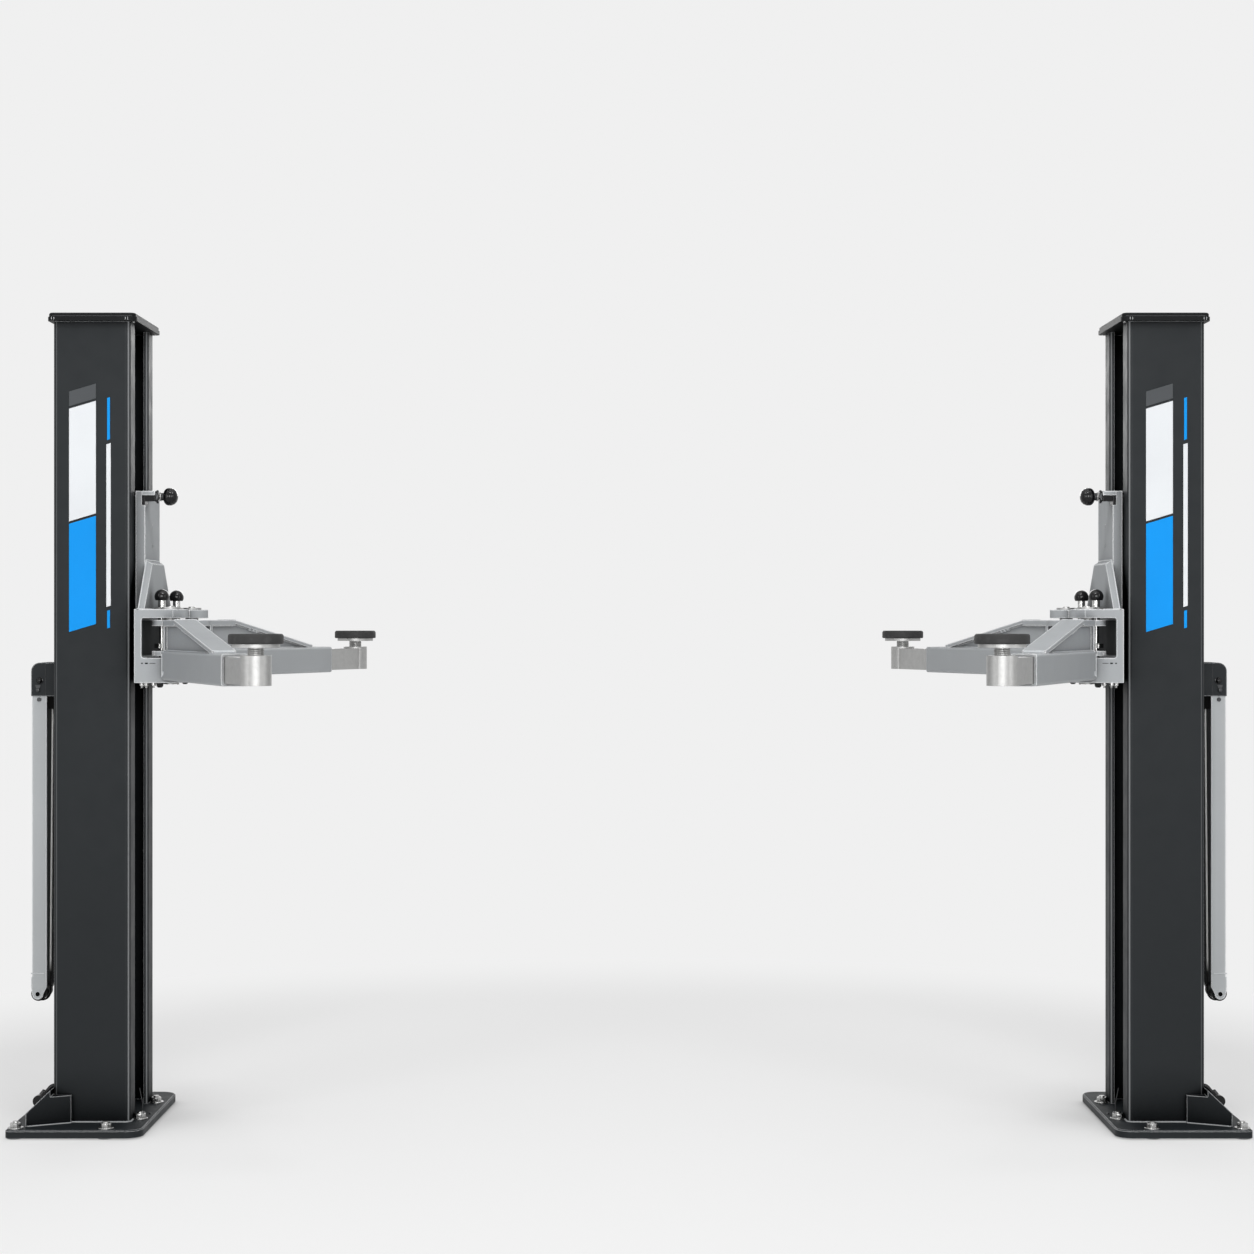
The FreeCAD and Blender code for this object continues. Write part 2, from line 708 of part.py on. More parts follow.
def lifting_pad():
    low = arm_tube_top - arm_tube_wall - slide_gap + screw_rise + dish_t
    pad = rod(rubber_r, point(pad_distance, 0, low), point(pad_distance, 0, low + rubber_t))
    pad = pad.makeChamfer(rubber_edge, top_edges(pad, low + rubber_t))
    return placed_arm(pad)


def restraint_pin():
    """Rod with a ball knob above the bracket and a toothed block beside the arm's lower ear."""
    pin_x, pin_y = restraint_axis()
    block_low = lower_ear_bottom + (lower_ear_t - block_height) / 2 + pin_travel
    block_high = block_low + block_height
    knob_low = shelf_top + bush_height + pin_travel + knob_gap
    knob_top = knob_low + knob_height
    shank = rod(pin_r, point(pin_x, pin_y, box_top - pin_tail), point(pin_x, pin_y, upper_ear_bottom))
    stem = rod(stem_r, point(pin_x, pin_y, upper_ear_bottom), point(pin_x, pin_y, knob_low + knob_socket))
    ball = Part.makeSphere(knob_r, point(pin_x, pin_y, knob_top - knob_r))
    knob = ball.common(block(pin_x - knob_r, pin_x + knob_r, pin_y - knob_r, pin_y + knob_r, knob_low, knob_top))
    start_deg = math.degrees(math.atan2(pin_offset_y, pin_offset_x)) - block_half_deg
    ring = Part.makeCylinder(block_reach, block_height, point(0, 0, block_low), point(0, 0, 1), 2 * block_half_deg)
    ring = ring.cut(rod(ear_r + block_gap, point(0, 0, block_low), point(0, 0, block_high)))
    ring.rotate(point(0, 0, 0), point(0, 0, 1), start_deg)
    teeth = []
    for step in (-1, 0, 1):
        tooth = block(ear_r - tooth_depth + tooth_gap, ear_r + tooth_depth, -notch_width / 2 + tooth_gap,
                      notch_width / 2 - tooth_gap, block_low, block_high)
        tooth.rotate(point(0, 0, 0), point(0, 0, 1), start_deg + block_half_deg + step * tooth_pitch_deg)
        teeth.append(tooth)
    head = fuse([ring] + teeth)
    head.translate(point(pivot_x, pivot_y, 0))
    return fuse([shank, stem, knob, head])


def save(name, shape):
    shape.exportStep("parts/" + name + ".step")


def both_posts(shape):
    return Part.makeCompound([shape, left(shape)])


os.makedirs("parts", exist_ok=True)

gusset = foot_gusset()
save("top_caps", both_posts(cap()))
save("foot_gussets", both_posts(Part.makeCompound([gusset, rear(gusset)])))
save("pipe_unions", both_posts(pipe_union()))
save("rope_loops", both_posts(rope_loop()))

one_per_post = {
    "column": column(),
    "base_plate": base_plate(),
    "hood": hood(),
    "roller_hanger": roller_hanger(),
    "return_roller": return_roller(),
    "carriage": carriage(),
    "slide_pads": slide_pads(),
    "door_bumper": door_bumper(),
    "stiffener": stiffener(),
    "arm_bracket": arm_bracket(),
    "pivot_pins": pivot_pins(),
}
for name, shape in one_per_post.items():
    save("right_" + name, shape)
    save("left_" + name, left(shape))

front_and_rear = {
    "arm": arm(),
    "arm_extension": extension(),
    "lifting_pad": lifting_pad(),
    "restraint_pin": restraint_pin(),
}
for name, shape in front_and_rear.items():
    save("right_front_" + name, shape)
    save("right_rear_" + name, rear(shape))
    save("left_front_" + name, left(shape))
    save("left_rear_" + name, left(rear(shape)))
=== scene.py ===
import json
import math

import bmesh
import bpy
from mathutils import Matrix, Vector


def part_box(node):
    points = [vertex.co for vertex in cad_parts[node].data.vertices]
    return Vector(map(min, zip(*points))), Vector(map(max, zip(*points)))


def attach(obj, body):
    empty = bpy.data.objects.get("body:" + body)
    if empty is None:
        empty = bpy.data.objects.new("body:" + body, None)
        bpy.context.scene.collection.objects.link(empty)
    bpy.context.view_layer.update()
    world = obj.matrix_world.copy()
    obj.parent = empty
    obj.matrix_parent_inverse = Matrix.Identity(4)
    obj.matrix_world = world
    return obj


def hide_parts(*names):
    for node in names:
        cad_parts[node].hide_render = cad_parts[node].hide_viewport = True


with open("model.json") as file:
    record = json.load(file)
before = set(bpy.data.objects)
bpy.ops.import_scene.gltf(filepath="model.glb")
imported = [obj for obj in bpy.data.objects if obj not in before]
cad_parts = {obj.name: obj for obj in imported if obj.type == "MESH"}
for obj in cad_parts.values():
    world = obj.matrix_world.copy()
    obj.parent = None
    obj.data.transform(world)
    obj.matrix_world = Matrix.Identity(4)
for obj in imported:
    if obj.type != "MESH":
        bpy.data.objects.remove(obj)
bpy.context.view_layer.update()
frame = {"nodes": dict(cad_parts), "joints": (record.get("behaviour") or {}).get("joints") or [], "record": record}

# Everything is in metres, in the lift's own frame: X across the bay, Y away from the camera, Z up.
# Fittings are drawn for the right post and the front arm and are mirrored to the others.

POSTS = {"left": -1, "right": 1}
ENDS = {"front": 1, "rear": -1}
MM = 0.001
UP = (0, 0, 1)
DOWN = (0, 0, -1)
INWARD = (-1, 0, 0)

# The photograph's camera, in pixels of its 1254 pixel frame
PHOTO_SIZE = 1254
PHOTO_CENTRE = (629.0, 622.0)
PHOTO_FOCAL = 2445.0
CAMERA_DISTANCE = 6.25
CAMERA_HEIGHT = 1.271
SENSOR = 36.0

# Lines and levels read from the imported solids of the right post
column_lo, column_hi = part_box("right_column")
cap_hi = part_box("top_caps")[1]
plate_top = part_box("right_base_plate")[1][2]
hood_lo, hood_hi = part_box("right_hood")
bracket_lo, bracket_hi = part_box("right_arm_bracket")
carriage_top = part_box("right_carriage")[1][2]
bumper_lo, bumper_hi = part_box("right_door_bumper")
hanger_lo, hanger_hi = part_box("right_roller_hanger")
ropes_lo, ropes_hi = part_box("rope_loops")
arm_lo, arm_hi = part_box("right_front_arm")
pad_lo, pad_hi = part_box("right_front_lifting_pad")
extension_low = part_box("right_front_arm_extension")[0][2]
pins_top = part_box("right_pivot_pins")[1][2]
stiffener_lo, stiffener_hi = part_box("right_stiffener")
mounts = {m["name"]: m for m in frame["record"]["mounts"]}
joints = {j["name"]: j for j in frame["joints"]}
pivot = Vector(joints["right_front_arm_swing"]["pos_m"])
axle = Vector(joints["right_roller_spin"]["pos_m"])
panel_x = stiffener_hi[0]
shelf_top = bracket_hi[2] - 4 * MM
box_top = bracket_lo[2] + 62 * MM


# Materials

# Levels of the normal's Y between which a painted highlight lies along a bent corner, on the bay side and outside
BAY_SIDE_BEND = (0.60, 0.66, 0.84, 0.89)
OUTER_SIDE_BEND = (0.915, 0.93, 0.975, 0.992)
OUTER_BEND_STRENGTH = 0.35

# How far painted shade reaches into inner corners and the inside of a section, and the factor on the colour there
CREVICE_REACH = 45 * MM
HOLLOW_REACH = 150 * MM
PAINTED_SHADE_FACTOR = 0.12

PEEL_SCALE = 260.0
PATCHINESS = 0.05


class Graph:
    """A node tree whose nodes are added one by one."""

    def __init__(self, tree):
        self.nodes = tree.nodes
        self.links = tree.links

    def add(self, kind, **settings):
        node = self.nodes.new(kind)
        for key, value in settings.items():
            setattr(node, key, value)
        return node

    def feed(self, socket, value):
        """Links a socket to another node's output, or sets it to a number or a colour."""
        if isinstance(value, bpy.types.NodeSocket):
            self.links.new(value, socket)
        elif socket.type == "RGBA":
            socket.default_value = (*value, 1.0)
        else:
            socket.default_value = value

    def ramp(self, value, low, high, out_low, out_high, **settings):
        node = self.add("ShaderNodeMapRange", **settings)
        for key, number in (("From Min", low), ("From Max", high), ("To Min", out_low), ("To Max", out_high)):
            node.inputs[key].default_value = number
        self.links.new(value, node.inputs["Value"])
        return node.outputs["Result"]

    def maths(self, operation, *values):
        node = self.add("ShaderNodeMath", operation=operation)
        for socket, value in zip(node.inputs, values):
            self.feed(socket, value)
        return node.outputs["Value"]

    def axes(self, vector):
        node = self.add("ShaderNodeSeparateXYZ")
        self.links.new(vector, node.inputs[0])
        return node.outputs

    def open_air(self, reach, samples):
        """1 on open faces, falling towards 0 where other faces stand within reach."""
        node = self.add("ShaderNodeAmbientOcclusion", samples=samples)
        node.inputs["Distance"].default_value = reach
        return node.outputs["AO"]

    def mix_shaders(self, factor, first, second):
        node = self.add("ShaderNodeMixShader")
        for socket, value in zip(node.inputs, (factor, first, second)):
            self.links.new(value, socket)
        return node.outputs["Shader"]

    def source(self, kind, colour, strength=None):
        """The output of a one colour shader: an emission, a background or a diffuse one."""
        node = self.add(kind)
        self.feed(node.inputs["Color"], colour)
        if strength is not None:
            node.inputs["Strength"].default_value = strength
        return node.outputs[0]


class Surface(Graph):
    """A principled material, drawn in the object's own coordinates."""

    def __init__(self, name, roughness, metallic=0.0):
        self.material = bpy.data.materials.new(name)
        self.material.use_nodes = True
        super().__init__(self.material.node_tree)
        self.shader = self.nodes["Principled BSDF"].inputs
        self.shader["Roughness"].default_value = roughness
        self.shader["Metallic"].default_value = metallic
        self.place = self.add("ShaderNodeTexCoord").outputs["Object"]
        self.normal = self.add("ShaderNodeNewGeometry").outputs["Normal"]

    def noise(self, scale, detail=3.0, stretch=(1, 1, 1)):
        mapping = self.add("ShaderNodeMapping")
        mapping.inputs["Scale"].default_value = stretch
        self.links.new(self.place, mapping.inputs["Vector"])
        node = self.add("ShaderNodeTexNoise")
        node.inputs["Scale"].default_value = scale
        node.inputs["Detail"].default_value = detail
        self.links.new(mapping.outputs["Vector"], node.inputs["Vector"])
        return node.outputs["Fac"]

    def mix(self, factor, first, second):
        node = self.add("ShaderNodeMix", data_type="RGBA")
        self.links.new(factor, node.inputs["Factor"])
        self.feed(node.inputs["A"], first)
        self.feed(node.inputs["B"], second)
        return node.outputs["Result"]

    def edges(self, radius, strength):
        """Rounded shading normal near edges, and a mask for a painted highlight that is strength there and 0 on
        faces.
        """
        rounded = self.add("ShaderNodeBevel", samples=4)
        rounded.inputs["Radius"].default_value = radius
        dot = self.add("ShaderNodeVectorMath", operation="DOT_PRODUCT")
        self.links.new(rounded.outputs["Normal"], dot.inputs[0])
        self.links.new(self.normal, dot.inputs[1])
        return rounded.outputs["Normal"], self.ramp(dot.outputs["Value"], 0.998, 0.94, 0.0, strength)

    def corners(self, reach, strength):
        """A mask for painted shade that is strength deep in inner corners and 0 on open faces."""
        return self.ramp(self.open_air(reach, samples=6), 0.96, 0.40, 0.0, strength)

    def band(self, value, rise_from, rise_to, fall_from, fall_to):
        """1 between the two middle levels, falling to 0 at the outer ones."""
        return self.maths("MULTIPLY", self.ramp(value, rise_from, rise_to, 0.0, 1.0),
                          self.ramp(value, fall_from, fall_to, 1.0, 0.0))

    def bend_highlight_mask(self):
        """A mask for a painted highlight along rounded corners beside a front or rear face, strong on the sides
        that face the bay.
        """
        normal = self.axes(self.normal)
        depth = self.maths("ABSOLUTE", normal["Y"])
        outward = self.maths("MULTIPLY", normal["X"], self.axes(self.place)["X"])
        faint = self.maths("MULTIPLY", self.band(depth, *OUTER_SIDE_BEND), OUTER_BEND_STRENGTH)
        side = self.add("ShaderNodeMix")
        self.links.new(self.ramp(outward, -0.01, 0.01, 0.0, 1.0), side.inputs["Factor"])
        self.links.new(self.band(depth, *BAY_SIDE_BEND), side.inputs["A"])
        self.links.new(faint, side.inputs["B"])
        return side.outputs["Result"]

    def relief(self, height, distance, strength, normal=None):
        bump = self.add("ShaderNodeBump")
        bump.inputs["Strength"].default_value = strength
        bump.inputs["Distance"].default_value = distance
        self.links.new(height, bump.inputs["Height"])
        if normal is not None:
            self.links.new(normal, bump.inputs["Normal"])
        self.links.new(bump.outputs["Normal"], self.shader["Normal"])

    def set(self, key, value):
        self.feed(self.shader[key], value)


def shade(colour, factor):
    return tuple(min(channel * factor, 1.0) for channel in colour)


def paint(name, colour, roughness, edge_highlight_colour, edge_radius=2 * MM, shine=0.3, dust=0.0, inner_shade=None,
          crevice_shade=0.0, hollow_shade=0.0, bend_highlight=None):
    """Sprayed paint: faint orange peel, slow tone drift, specks and paler edges, a painted highlight.

    dust dulls faces that look up, lining is painted shade, another colour within a half width of the
    middle, crevice is painted shade that darkens inner corners, hollow is painted shade that darkens and
    dulls the inside of a section, and glint is a painted highlight, the pale line along bent corners beside a
    front face.
    """
    s = Surface(name, roughness)
    normal, mask = s.edges(edge_radius, 0.9)
    drift = s.ramp(s.noise(2.6), 0.3, 0.7, 0.0, 1.0)
    body = s.mix(drift, shade(colour, 1 - PATCHINESS), shade(colour, 1 + PATCHINESS))
    specks = s.ramp(s.noise(900.0, 1.0), 0.66, 0.74, 0.0, 0.2)
    body = s.mix(specks, body, shade(colour, 1.5))
    # Painted shade: faces within a half width of the middle take a dark colour
    if inner_shade:
        half_width, inner_colour = inner_shade
        off = s.maths("ABSOLUTE", s.axes(s.place)["Y"])
        body = s.mix(s.ramp(off, half_width + 0.1 * MM, half_width, 0.0, 1.0), body, inner_colour)
    # Painted shade in inner corners
    if crevice_shade:
        body = s.mix(s.corners(CREVICE_REACH, crevice_shade), body, shade(colour, PAINTED_SHADE_FACTOR))
    # Painted shade inside a section, darkening the colour here and the reflection below
    if hollow_shade:
        depth = s.corners(HOLLOW_REACH, hollow_shade)
        body = s.mix(depth, body, shade(colour, PAINTED_SHADE_FACTOR))
    # Painted highlight along bent corners
    if bend_highlight:
        body = s.mix(s.bend_highlight_mask(), body, bend_highlight)
    # Painted highlight along the edges
    s.set("Base Color", s.mix(mask, body, edge_highlight_colour))
    s.set("Roughness", s.ramp(s.noise(22.0), 0.3, 0.7, roughness - 0.05, roughness + 0.06))
    level = shine
    if dust:
        level = s.ramp(s.axes(s.normal)["Z"], 0.6, 0.95, shine, shine * (1 - dust))
    if hollow_shade:
        level = s.maths("MULTIPLY", level, s.ramp(depth, 0.0, 1.0, 1.0, 0.0))
    s.set("Specular IOR Level", level)
    s.relief(s.noise(PEEL_SCALE, 2.0), 0.4 * MM, 0.10, normal)
    return s.material


def plastic(name, colour, roughness, grain=1500.0, edge_highlight_factor=1.8, shine=0.3):
    """Moulded plastic with paler edges, a painted highlight, and a fine spark grain, fainter on a glossy one."""
    s = Surface(name, roughness)
    normal, mask = s.edges(1 * MM, 0.5)
    drift = s.ramp(s.noise(14.0), 0.35, 0.65, 0.0, 1.0)
    body = s.mix(drift, shade(colour, 0.9), shade(colour, 1.15))
    s.set("Base Color", s.mix(mask, body, shade(colour, edge_highlight_factor)))
    s.set("Specular IOR Level", shine)
    s.relief(s.noise(grain, 1.0), 0.2 * MM, min(0.25, roughness / 2), normal)
    return s.material


def rubber(name, colour):
    """Matte rubber with chalky scuffs."""
    s = Surface(name, 0.72)
    scuff = s.ramp(s.noise(60.0, 6.0), 0.52, 0.75, 0.0, 0.6)
    s.set("Base Color", s.mix(scuff, colour, shade(colour, 3.0)))
    s.relief(s.noise(700.0, 2.0), 0.3 * MM, 0.3)
    return s.material


def metal(name, colour, roughness, grain_scale, stretch=(1, 1, 1), tarnish=0.25, grease_below=None):
    """Bare or plated steel with drawn grain, cloudy plating and paler edges, a painted highlight, greased black
    below a level if given.
    """
    s = Surface(name, roughness, metallic=1.0)
    normal, mask = s.edges(0.8 * MM, 0.4)
    cloud = s.ramp(s.noise(75.0, 4.0), 0.35, 0.7, 0.0, tarnish)
    body = s.mix(mask, s.mix(cloud, colour, shade(colour, 0.62)), shade(colour, 1.25))
    if grease_below is not None:
        greased = s.ramp(s.axes(s.place)["Z"], grease_below + 30 * MM, grease_below, 0.0, 1.0)
        body = s.mix(greased, body, (0.02, 0.02, 0.02))
    s.set("Base Color", body)
    grain = s.noise(grain_scale, 4.0, stretch)
    s.set("Roughness", s.ramp(grain, 0.3, 0.7, roughness - 0.08, roughness + 0.12))
    s.relief(grain, 0.2 * MM, 0.2, normal)
    return s.material


def pin_finish(name, knob_z):
    """Turned steel up to the knob's foot with paler edges, a painted highlight, and glossy black above it."""
    s = Surface(name, 0.3)
    normal, mask = s.edges(0.6 * MM, 0.4)
    above = s.ramp(s.axes(s.place)["Z"], knob_z - 0.1 * MM, knob_z + 0.1 * MM, 0.0, 1.0)
    cloud = s.ramp(s.noise(90.0, 4.0), 0.35, 0.7, 0.0, 1.0)
    steel = s.mix(cloud, (0.60, 0.60, 0.59), (0.36, 0.36, 0.355))
    s.set("Base Color", s.mix(above, s.mix(mask, steel, (0.8, 0.8, 0.8)), (0.004, 0.004, 0.0045)))
    s.set("Metallic", s.ramp(above, 0.0, 1.0, 1.0, 0.0))
    s.set("Roughness", s.ramp(above, 0.0, 1.0, 0.24, 0.06))
    s.set("Specular IOR Level", 0.3)
    s.relief(s.noise(500.0, 2.0, (1, 1, 8)), 0.1 * MM, 0.05, normal)
    return s.material


DARK = (0.0122, 0.0145, 0.0163)
GREY = (0.340, 0.354, 0.365)
# DARK_EDGE_HIGHLIGHT and GREY_EDGE_HIGHLIGHT are the colours of the painted highlight along edges
DARK_EDGE_HIGHLIGHT = (0.42, 0.43, 0.44)
GREY_EDGE_HIGHLIGHT = (0.95, 0.96, 0.97)
# PAINTED_BEND_HIGHLIGHT is the colour of the painted highlight along bent corners
PAINTED_BEND_HIGHLIGHT = (0.17, 0.175, 0.18)
# STRUT_INNER_SHADE is painted shade on the strut's faces within 42.4 mm of the middle
STRUT_INNER_SHADE = (42.4 * MM, (0.022, 0.023, 0.024))
KNOB_FOOT = bracket_hi[2] + 18.5 * MM
GREASE_LEVEL = axle.z + 50 * MM

finishes = {
    "dark_paint": paint("dark_paint", DARK, 0.5, DARK_EDGE_HIGHLIGHT, edge_radius=3.5 * MM, shine=0.17, dust=0.9,
                        hollow_shade=1.0, bend_highlight=PAINTED_BEND_HIGHLIGHT),
    "grey_paint": paint("grey_paint", GREY, 0.7, GREY_EDGE_HIGHLIGHT, edge_radius=4.5 * MM, shine=0.10, crevice_shade=0.8),
    "strut_grey": paint("strut_grey", (0.40, 0.415, 0.425), 0.6, GREY_EDGE_HIGHLIGHT, edge_radius=5 * MM, shine=0.12,
                        inner_shade=STRUT_INNER_SHADE),
    "black_plastic": plastic("black_plastic", (0.007, 0.0075, 0.008), 0.5, edge_highlight_factor=12.0, shine=0.08),
    "slide_plastic": plastic("slide_plastic", (0.52, 0.52, 0.48), 0.5),
    "black_rubber": rubber("black_rubber", (0.014, 0.014, 0.014)),
    "zinc_steel": metal("zinc_steel", (0.42, 0.42, 0.415), 0.46, 240.0, (1, 1, 6)),
    "wire_steel": metal("wire_steel", (0.66, 0.66, 0.65), 0.5, 400.0, grease_below=GREASE_LEVEL),
    "pin_steel": pin_finish("pin_steel", KNOB_FOOT),
}
hood_paint = paint("hood_paint", DARK, 0.5, DARK_EDGE_HIGHLIGHT, edge_radius=3.5 * MM, shine=0.17, dust=0.9,
                   bend_highlight=PAINTED_BEND_HIGHLIGHT)
plate_paint = paint("plate_paint", DARK, 0.5, (0.50, 0.51, 0.52), edge_radius=2.2 * MM, shine=0.17, dust=0.6)
# weld_highlight_grey is paler than the grey paint: a painted highlight on beads and seams
weld_highlight_grey = paint("weld_highlight_grey", shade(GREY, 1.4), 0.6, (0.75, 0.76, 0.77), shine=0.2)
# weld_dark is a mid grey: a painted highlight on the column's foot welds and the cap's ribs, and the panel screws'
# own colour
weld_dark = paint("weld_dark", (0.26, 0.27, 0.275), 0.5, (0.45, 0.455, 0.46), shine=0.2)
stripe_blue = paint("stripe_blue", (0.003, 0.26, 0.72), 0.5, (0.01, 0.32, 0.78), shine=0.1)
stripe_silver = paint("stripe_silver", (0.66, 0.68, 0.70), 0.5, (0.75, 0.76, 0.78), shine=0.1)
stripe_grey = paint("stripe_grey", (0.07, 0.075, 0.08), 0.5, (0.09, 0.10, 0.10), shine=0.1)
# cap_highlight_grey is the colour of the cap's pale line, a painted highlight
cap_highlight_grey = plastic("cap_highlight_grey", (0.045, 0.046, 0.048), 0.5, shine=0.1)
# recess_shade_black is painted shade in slots, gaps and holes, and the colour of the axle's retaining rings
recess_shade_black = plastic("recess_shade_black", (0.006, 0.006, 0.006), 0.8, shine=0.0)
# window_painted_shade is painted shade for the bracket's window
window_painted_shade = plastic("window_painted_shade", (0.040, 0.042, 0.043), 0.8, shine=0.05)
gloss_black = plastic("gloss_black", (0.003, 0.003, 0.0035), 0.06, grain=300.0, edge_highlight_factor=2.0)
anchor_steel = metal("anchor_zinc", (0.46, 0.46, 0.455), 0.22, 500.0, tarnish=0.9)
black_steel = metal("blackened_steel", (0.055, 0.056, 0.058), 0.38, 500.0)

# Nodes that look different from the rest of their slot
own_looks = {"pipe_unions": gloss_black}
for post in POSTS:
    own_looks[f"{post}_base_plate"] = plate_paint
    own_looks[f"{post}_hood"] = hood_paint

slot_of = {entry["node"]: entry["material_slot"] for entry in frame["record"]["subparts"]}
for node_name, node_object in frame["nodes"].items():
    look = own_looks.get(node_name, finishes[slot_of[node_name]])
    for material_slot in node_object.material_slots:
        material_slot.material = look


# Mesh tools

SIDES = (-1, 1)


def mm_rows(*rows):
    """Rows of (radius, distance along the axis) for a lathe, given in millimetres."""
    return [(radius * MM, along * MM) for radius, along in rows]


def sideways(axis):
    """Two unit vectors square to the axis and to each other."""
    axis = axis.normalized()
    helper = Vector((0, 0, 1)) if abs(axis.z) < 0.9 else Vector((1, 0, 0))
    first = axis.cross(helper).normalized()
    return first, axis.cross(first).normalized()


def join_rings(bm, rings):
    """Faces between neighbouring rings; a ring of one vertex closes to a point."""
    for lower, upper in zip(rings, rings[1:]):
        count = max(len(lower), len(upper))
        for i in range(count):
            j = (i + 1) % count
            corners = []
            for ring, k in ((lower, i), (lower, j), (upper, j), (upper, i)):
                vert = ring[k % len(ring)]
                if vert not in corners:
                    corners.append(vert)
            bm.faces.new(corners)


def lathe(bm, profile, origin, axis, segments=32, radius_at=None):
    """Turns (radius, distance along the axis) rows; radius_at can shape the radius by angle."""
    axis = Vector(axis).normalized()
    origin = Vector(origin)
    u, v = sideways(axis)
    rings = []
    for radius, along in profile:
        centre = origin + axis * along
        if radius == 0:
            rings.append([bm.verts.new(centre)])
            continue
        ring = []
        for i in range(segments):
            angle = 2 * math.pi * i / segments
            r = radius_at(radius, angle, along) if radius_at else radius
            ring.append(bm.verts.new(centre + (u * math.cos(angle) + v * math.sin(angle)) * r))
        rings.append(ring)
    join_rings(bm, rings)
    for ring, backwards in ((rings[0], True), (rings[-1], False)):
        if len(ring) > 1:
            bm.faces.new(list(reversed(ring)) if backwards else ring)


def hexagon(flat):
    """Radius of a hexagon with that half width across flats, cut back to the row's own radius."""
    def radius_at(radius, angle, along):
        off = (angle + math.pi / 6) % (math.pi / 3) - math.pi / 6
        return min(radius, flat / math.cos(off))
    return radius_at


def nut(bm, origin, axis, flat, height):
    """A hexagon with both faces chamfered to circles."""
    corner = flat / math.cos(math.pi / 6)
    face = flat * 0.97
    slope = (corner - face) * math.tan(math.radians(30))
    rows = [(0, 0), (face, 0), (corner, slope), (corner, height - slope), (face, height), (0, height)]
    lathe(bm, rows, origin, axis, 36, hexagon(flat))


def threaded(bm, origin, axis, radius, length, pitch):
    """A rod with a helical thread."""
    depth = pitch * 0.5

    def radius_at(r, angle, along):
        phase = (along / pitch - angle / (2 * math.pi)) % 1.0
        return r - depth * abs(2 * phase - 1)

    rows = max(8, int(length / pitch * 4))
    profile = [(radius, length * i / rows) for i in range(rows + 1)]
    lathe(bm, profile, origin, axis, 20, radius_at)


def tube_along(bm, points, radius, sides=8, closed=False, ripple=0.0):
    """Sweeps a circle along points, with a slight ripple for weld beads."""
    count = len(points)
    rings = []
    for i, here in enumerate(points):
        before = points[(i - 1) % count] if closed or i > 0 else here
        after = points[(i + 1) % count] if closed or i < count - 1 else here
        u, v = sideways(after - before)
        r = radius * (1 + ripple * math.sin(i * 1.9) + ripple * 0.5 * math.sin(i * 4.3))
        rings.append([bm.verts.new(here + (u * math.cos(a) + v * math.sin(a)) * r)
                      for a in (2 * math.pi * k / sides for k in range(sides))])
    if closed:
        rings.append(rings[0])
    join_rings(bm, rings)
    if not closed:
        bm.faces.new(list(reversed(rings[0])))
        bm.faces.new(rings[-1])


def along_line(start, end, step):
    start = Vector(start)
    end = Vector(end)
    count = max(2, int((end - start).length / step))
    return [start.lerp(end, i / count) for i in range(count + 1)]


def bead(bm, corners, radius=2.2 * MM, step=2.4 * MM):
    """A weld bead along straight runs between corners."""
    points = [Vector(corners[0])]
    for start, end in zip(corners, corners[1:]):
        points += along_line(start, end, step)[1:]
    tube_along(bm, points, radius, 7, ripple=0.16)


def slab(bm, lo, hi, bevel=0.0):
    """A block, with bevelled edges if asked."""
    made = bmesh.ops.create_cube(bm, size=1.0)["verts"]
    size = Vector(hi) - Vector(lo)
    middle = (Vector(hi) + Vector(lo)) / 2
    bmesh.ops.scale(bm, vec=size, verts=made)
    bmesh.ops.translate(bm, vec=middle, verts=made)
    if bevel:
        edges = {edge for vert in made for edge in vert.link_edges}
        bmesh.ops.bevel(bm, geom=list(edges), offset=bevel, segments=2, affect="EDGES")


def place(bm, name, material, slot_name, body, sign_x=1, sign_y=1, sharp=32):
    """Makes the mesh an object, mirrors it to its side and lets it ride on its body."""
    bmesh.ops.scale(bm, vec=(sign_x, sign_y, 1), verts=bm.verts)
    bmesh.ops.recalc_face_normals(bm, faces=bm.faces)
    mesh = bpy.data.meshes.new(name)
    bm.to_mesh(mesh)
    bm.free()
    mesh.shade_smooth()
    mesh.set_sharp_from_angle(angle=math.radians(sharp))
    mesh.materials.append(material)
    piece = bpy.data.objects.new(name, mesh)
    bpy.context.scene.collection.objects.link(piece)
    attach(piece, body)
    return piece


# Fittings on the fixed posts

ANCHOR_WASHER_R = 19.5 * MM
ANCHOR_WASHER_T = 3 * MM
ANCHOR_NUT_FLAT = 12 * MM
ANCHOR_NUT_H = 11 * MM
ANCHOR_STUD_R = 7.5 * MM
ANCHOR_STUD_OUT = 4 * MM
ANCHOR_PITCH = 2 * MM


def anchor_places():
    corner = mounts["right_corner_anchors"]
    inner = mounts["right_inner_anchors"]
    dx = corner["dims"]["spacing_x_mm"] * MM / 2
    dy = corner["dims"]["spacing_y_mm"] * MM / 2
    x, y, _ = corner["pos_m"]
    places = [(x + i * dx, y + j * dy) for i in SIDES for j in SIDES]
    half = inner["dims"]["spacing_y_mm"] * MM / 2
    return places + [(inner["pos_m"][0], -half), (inner["pos_m"][0], half)]


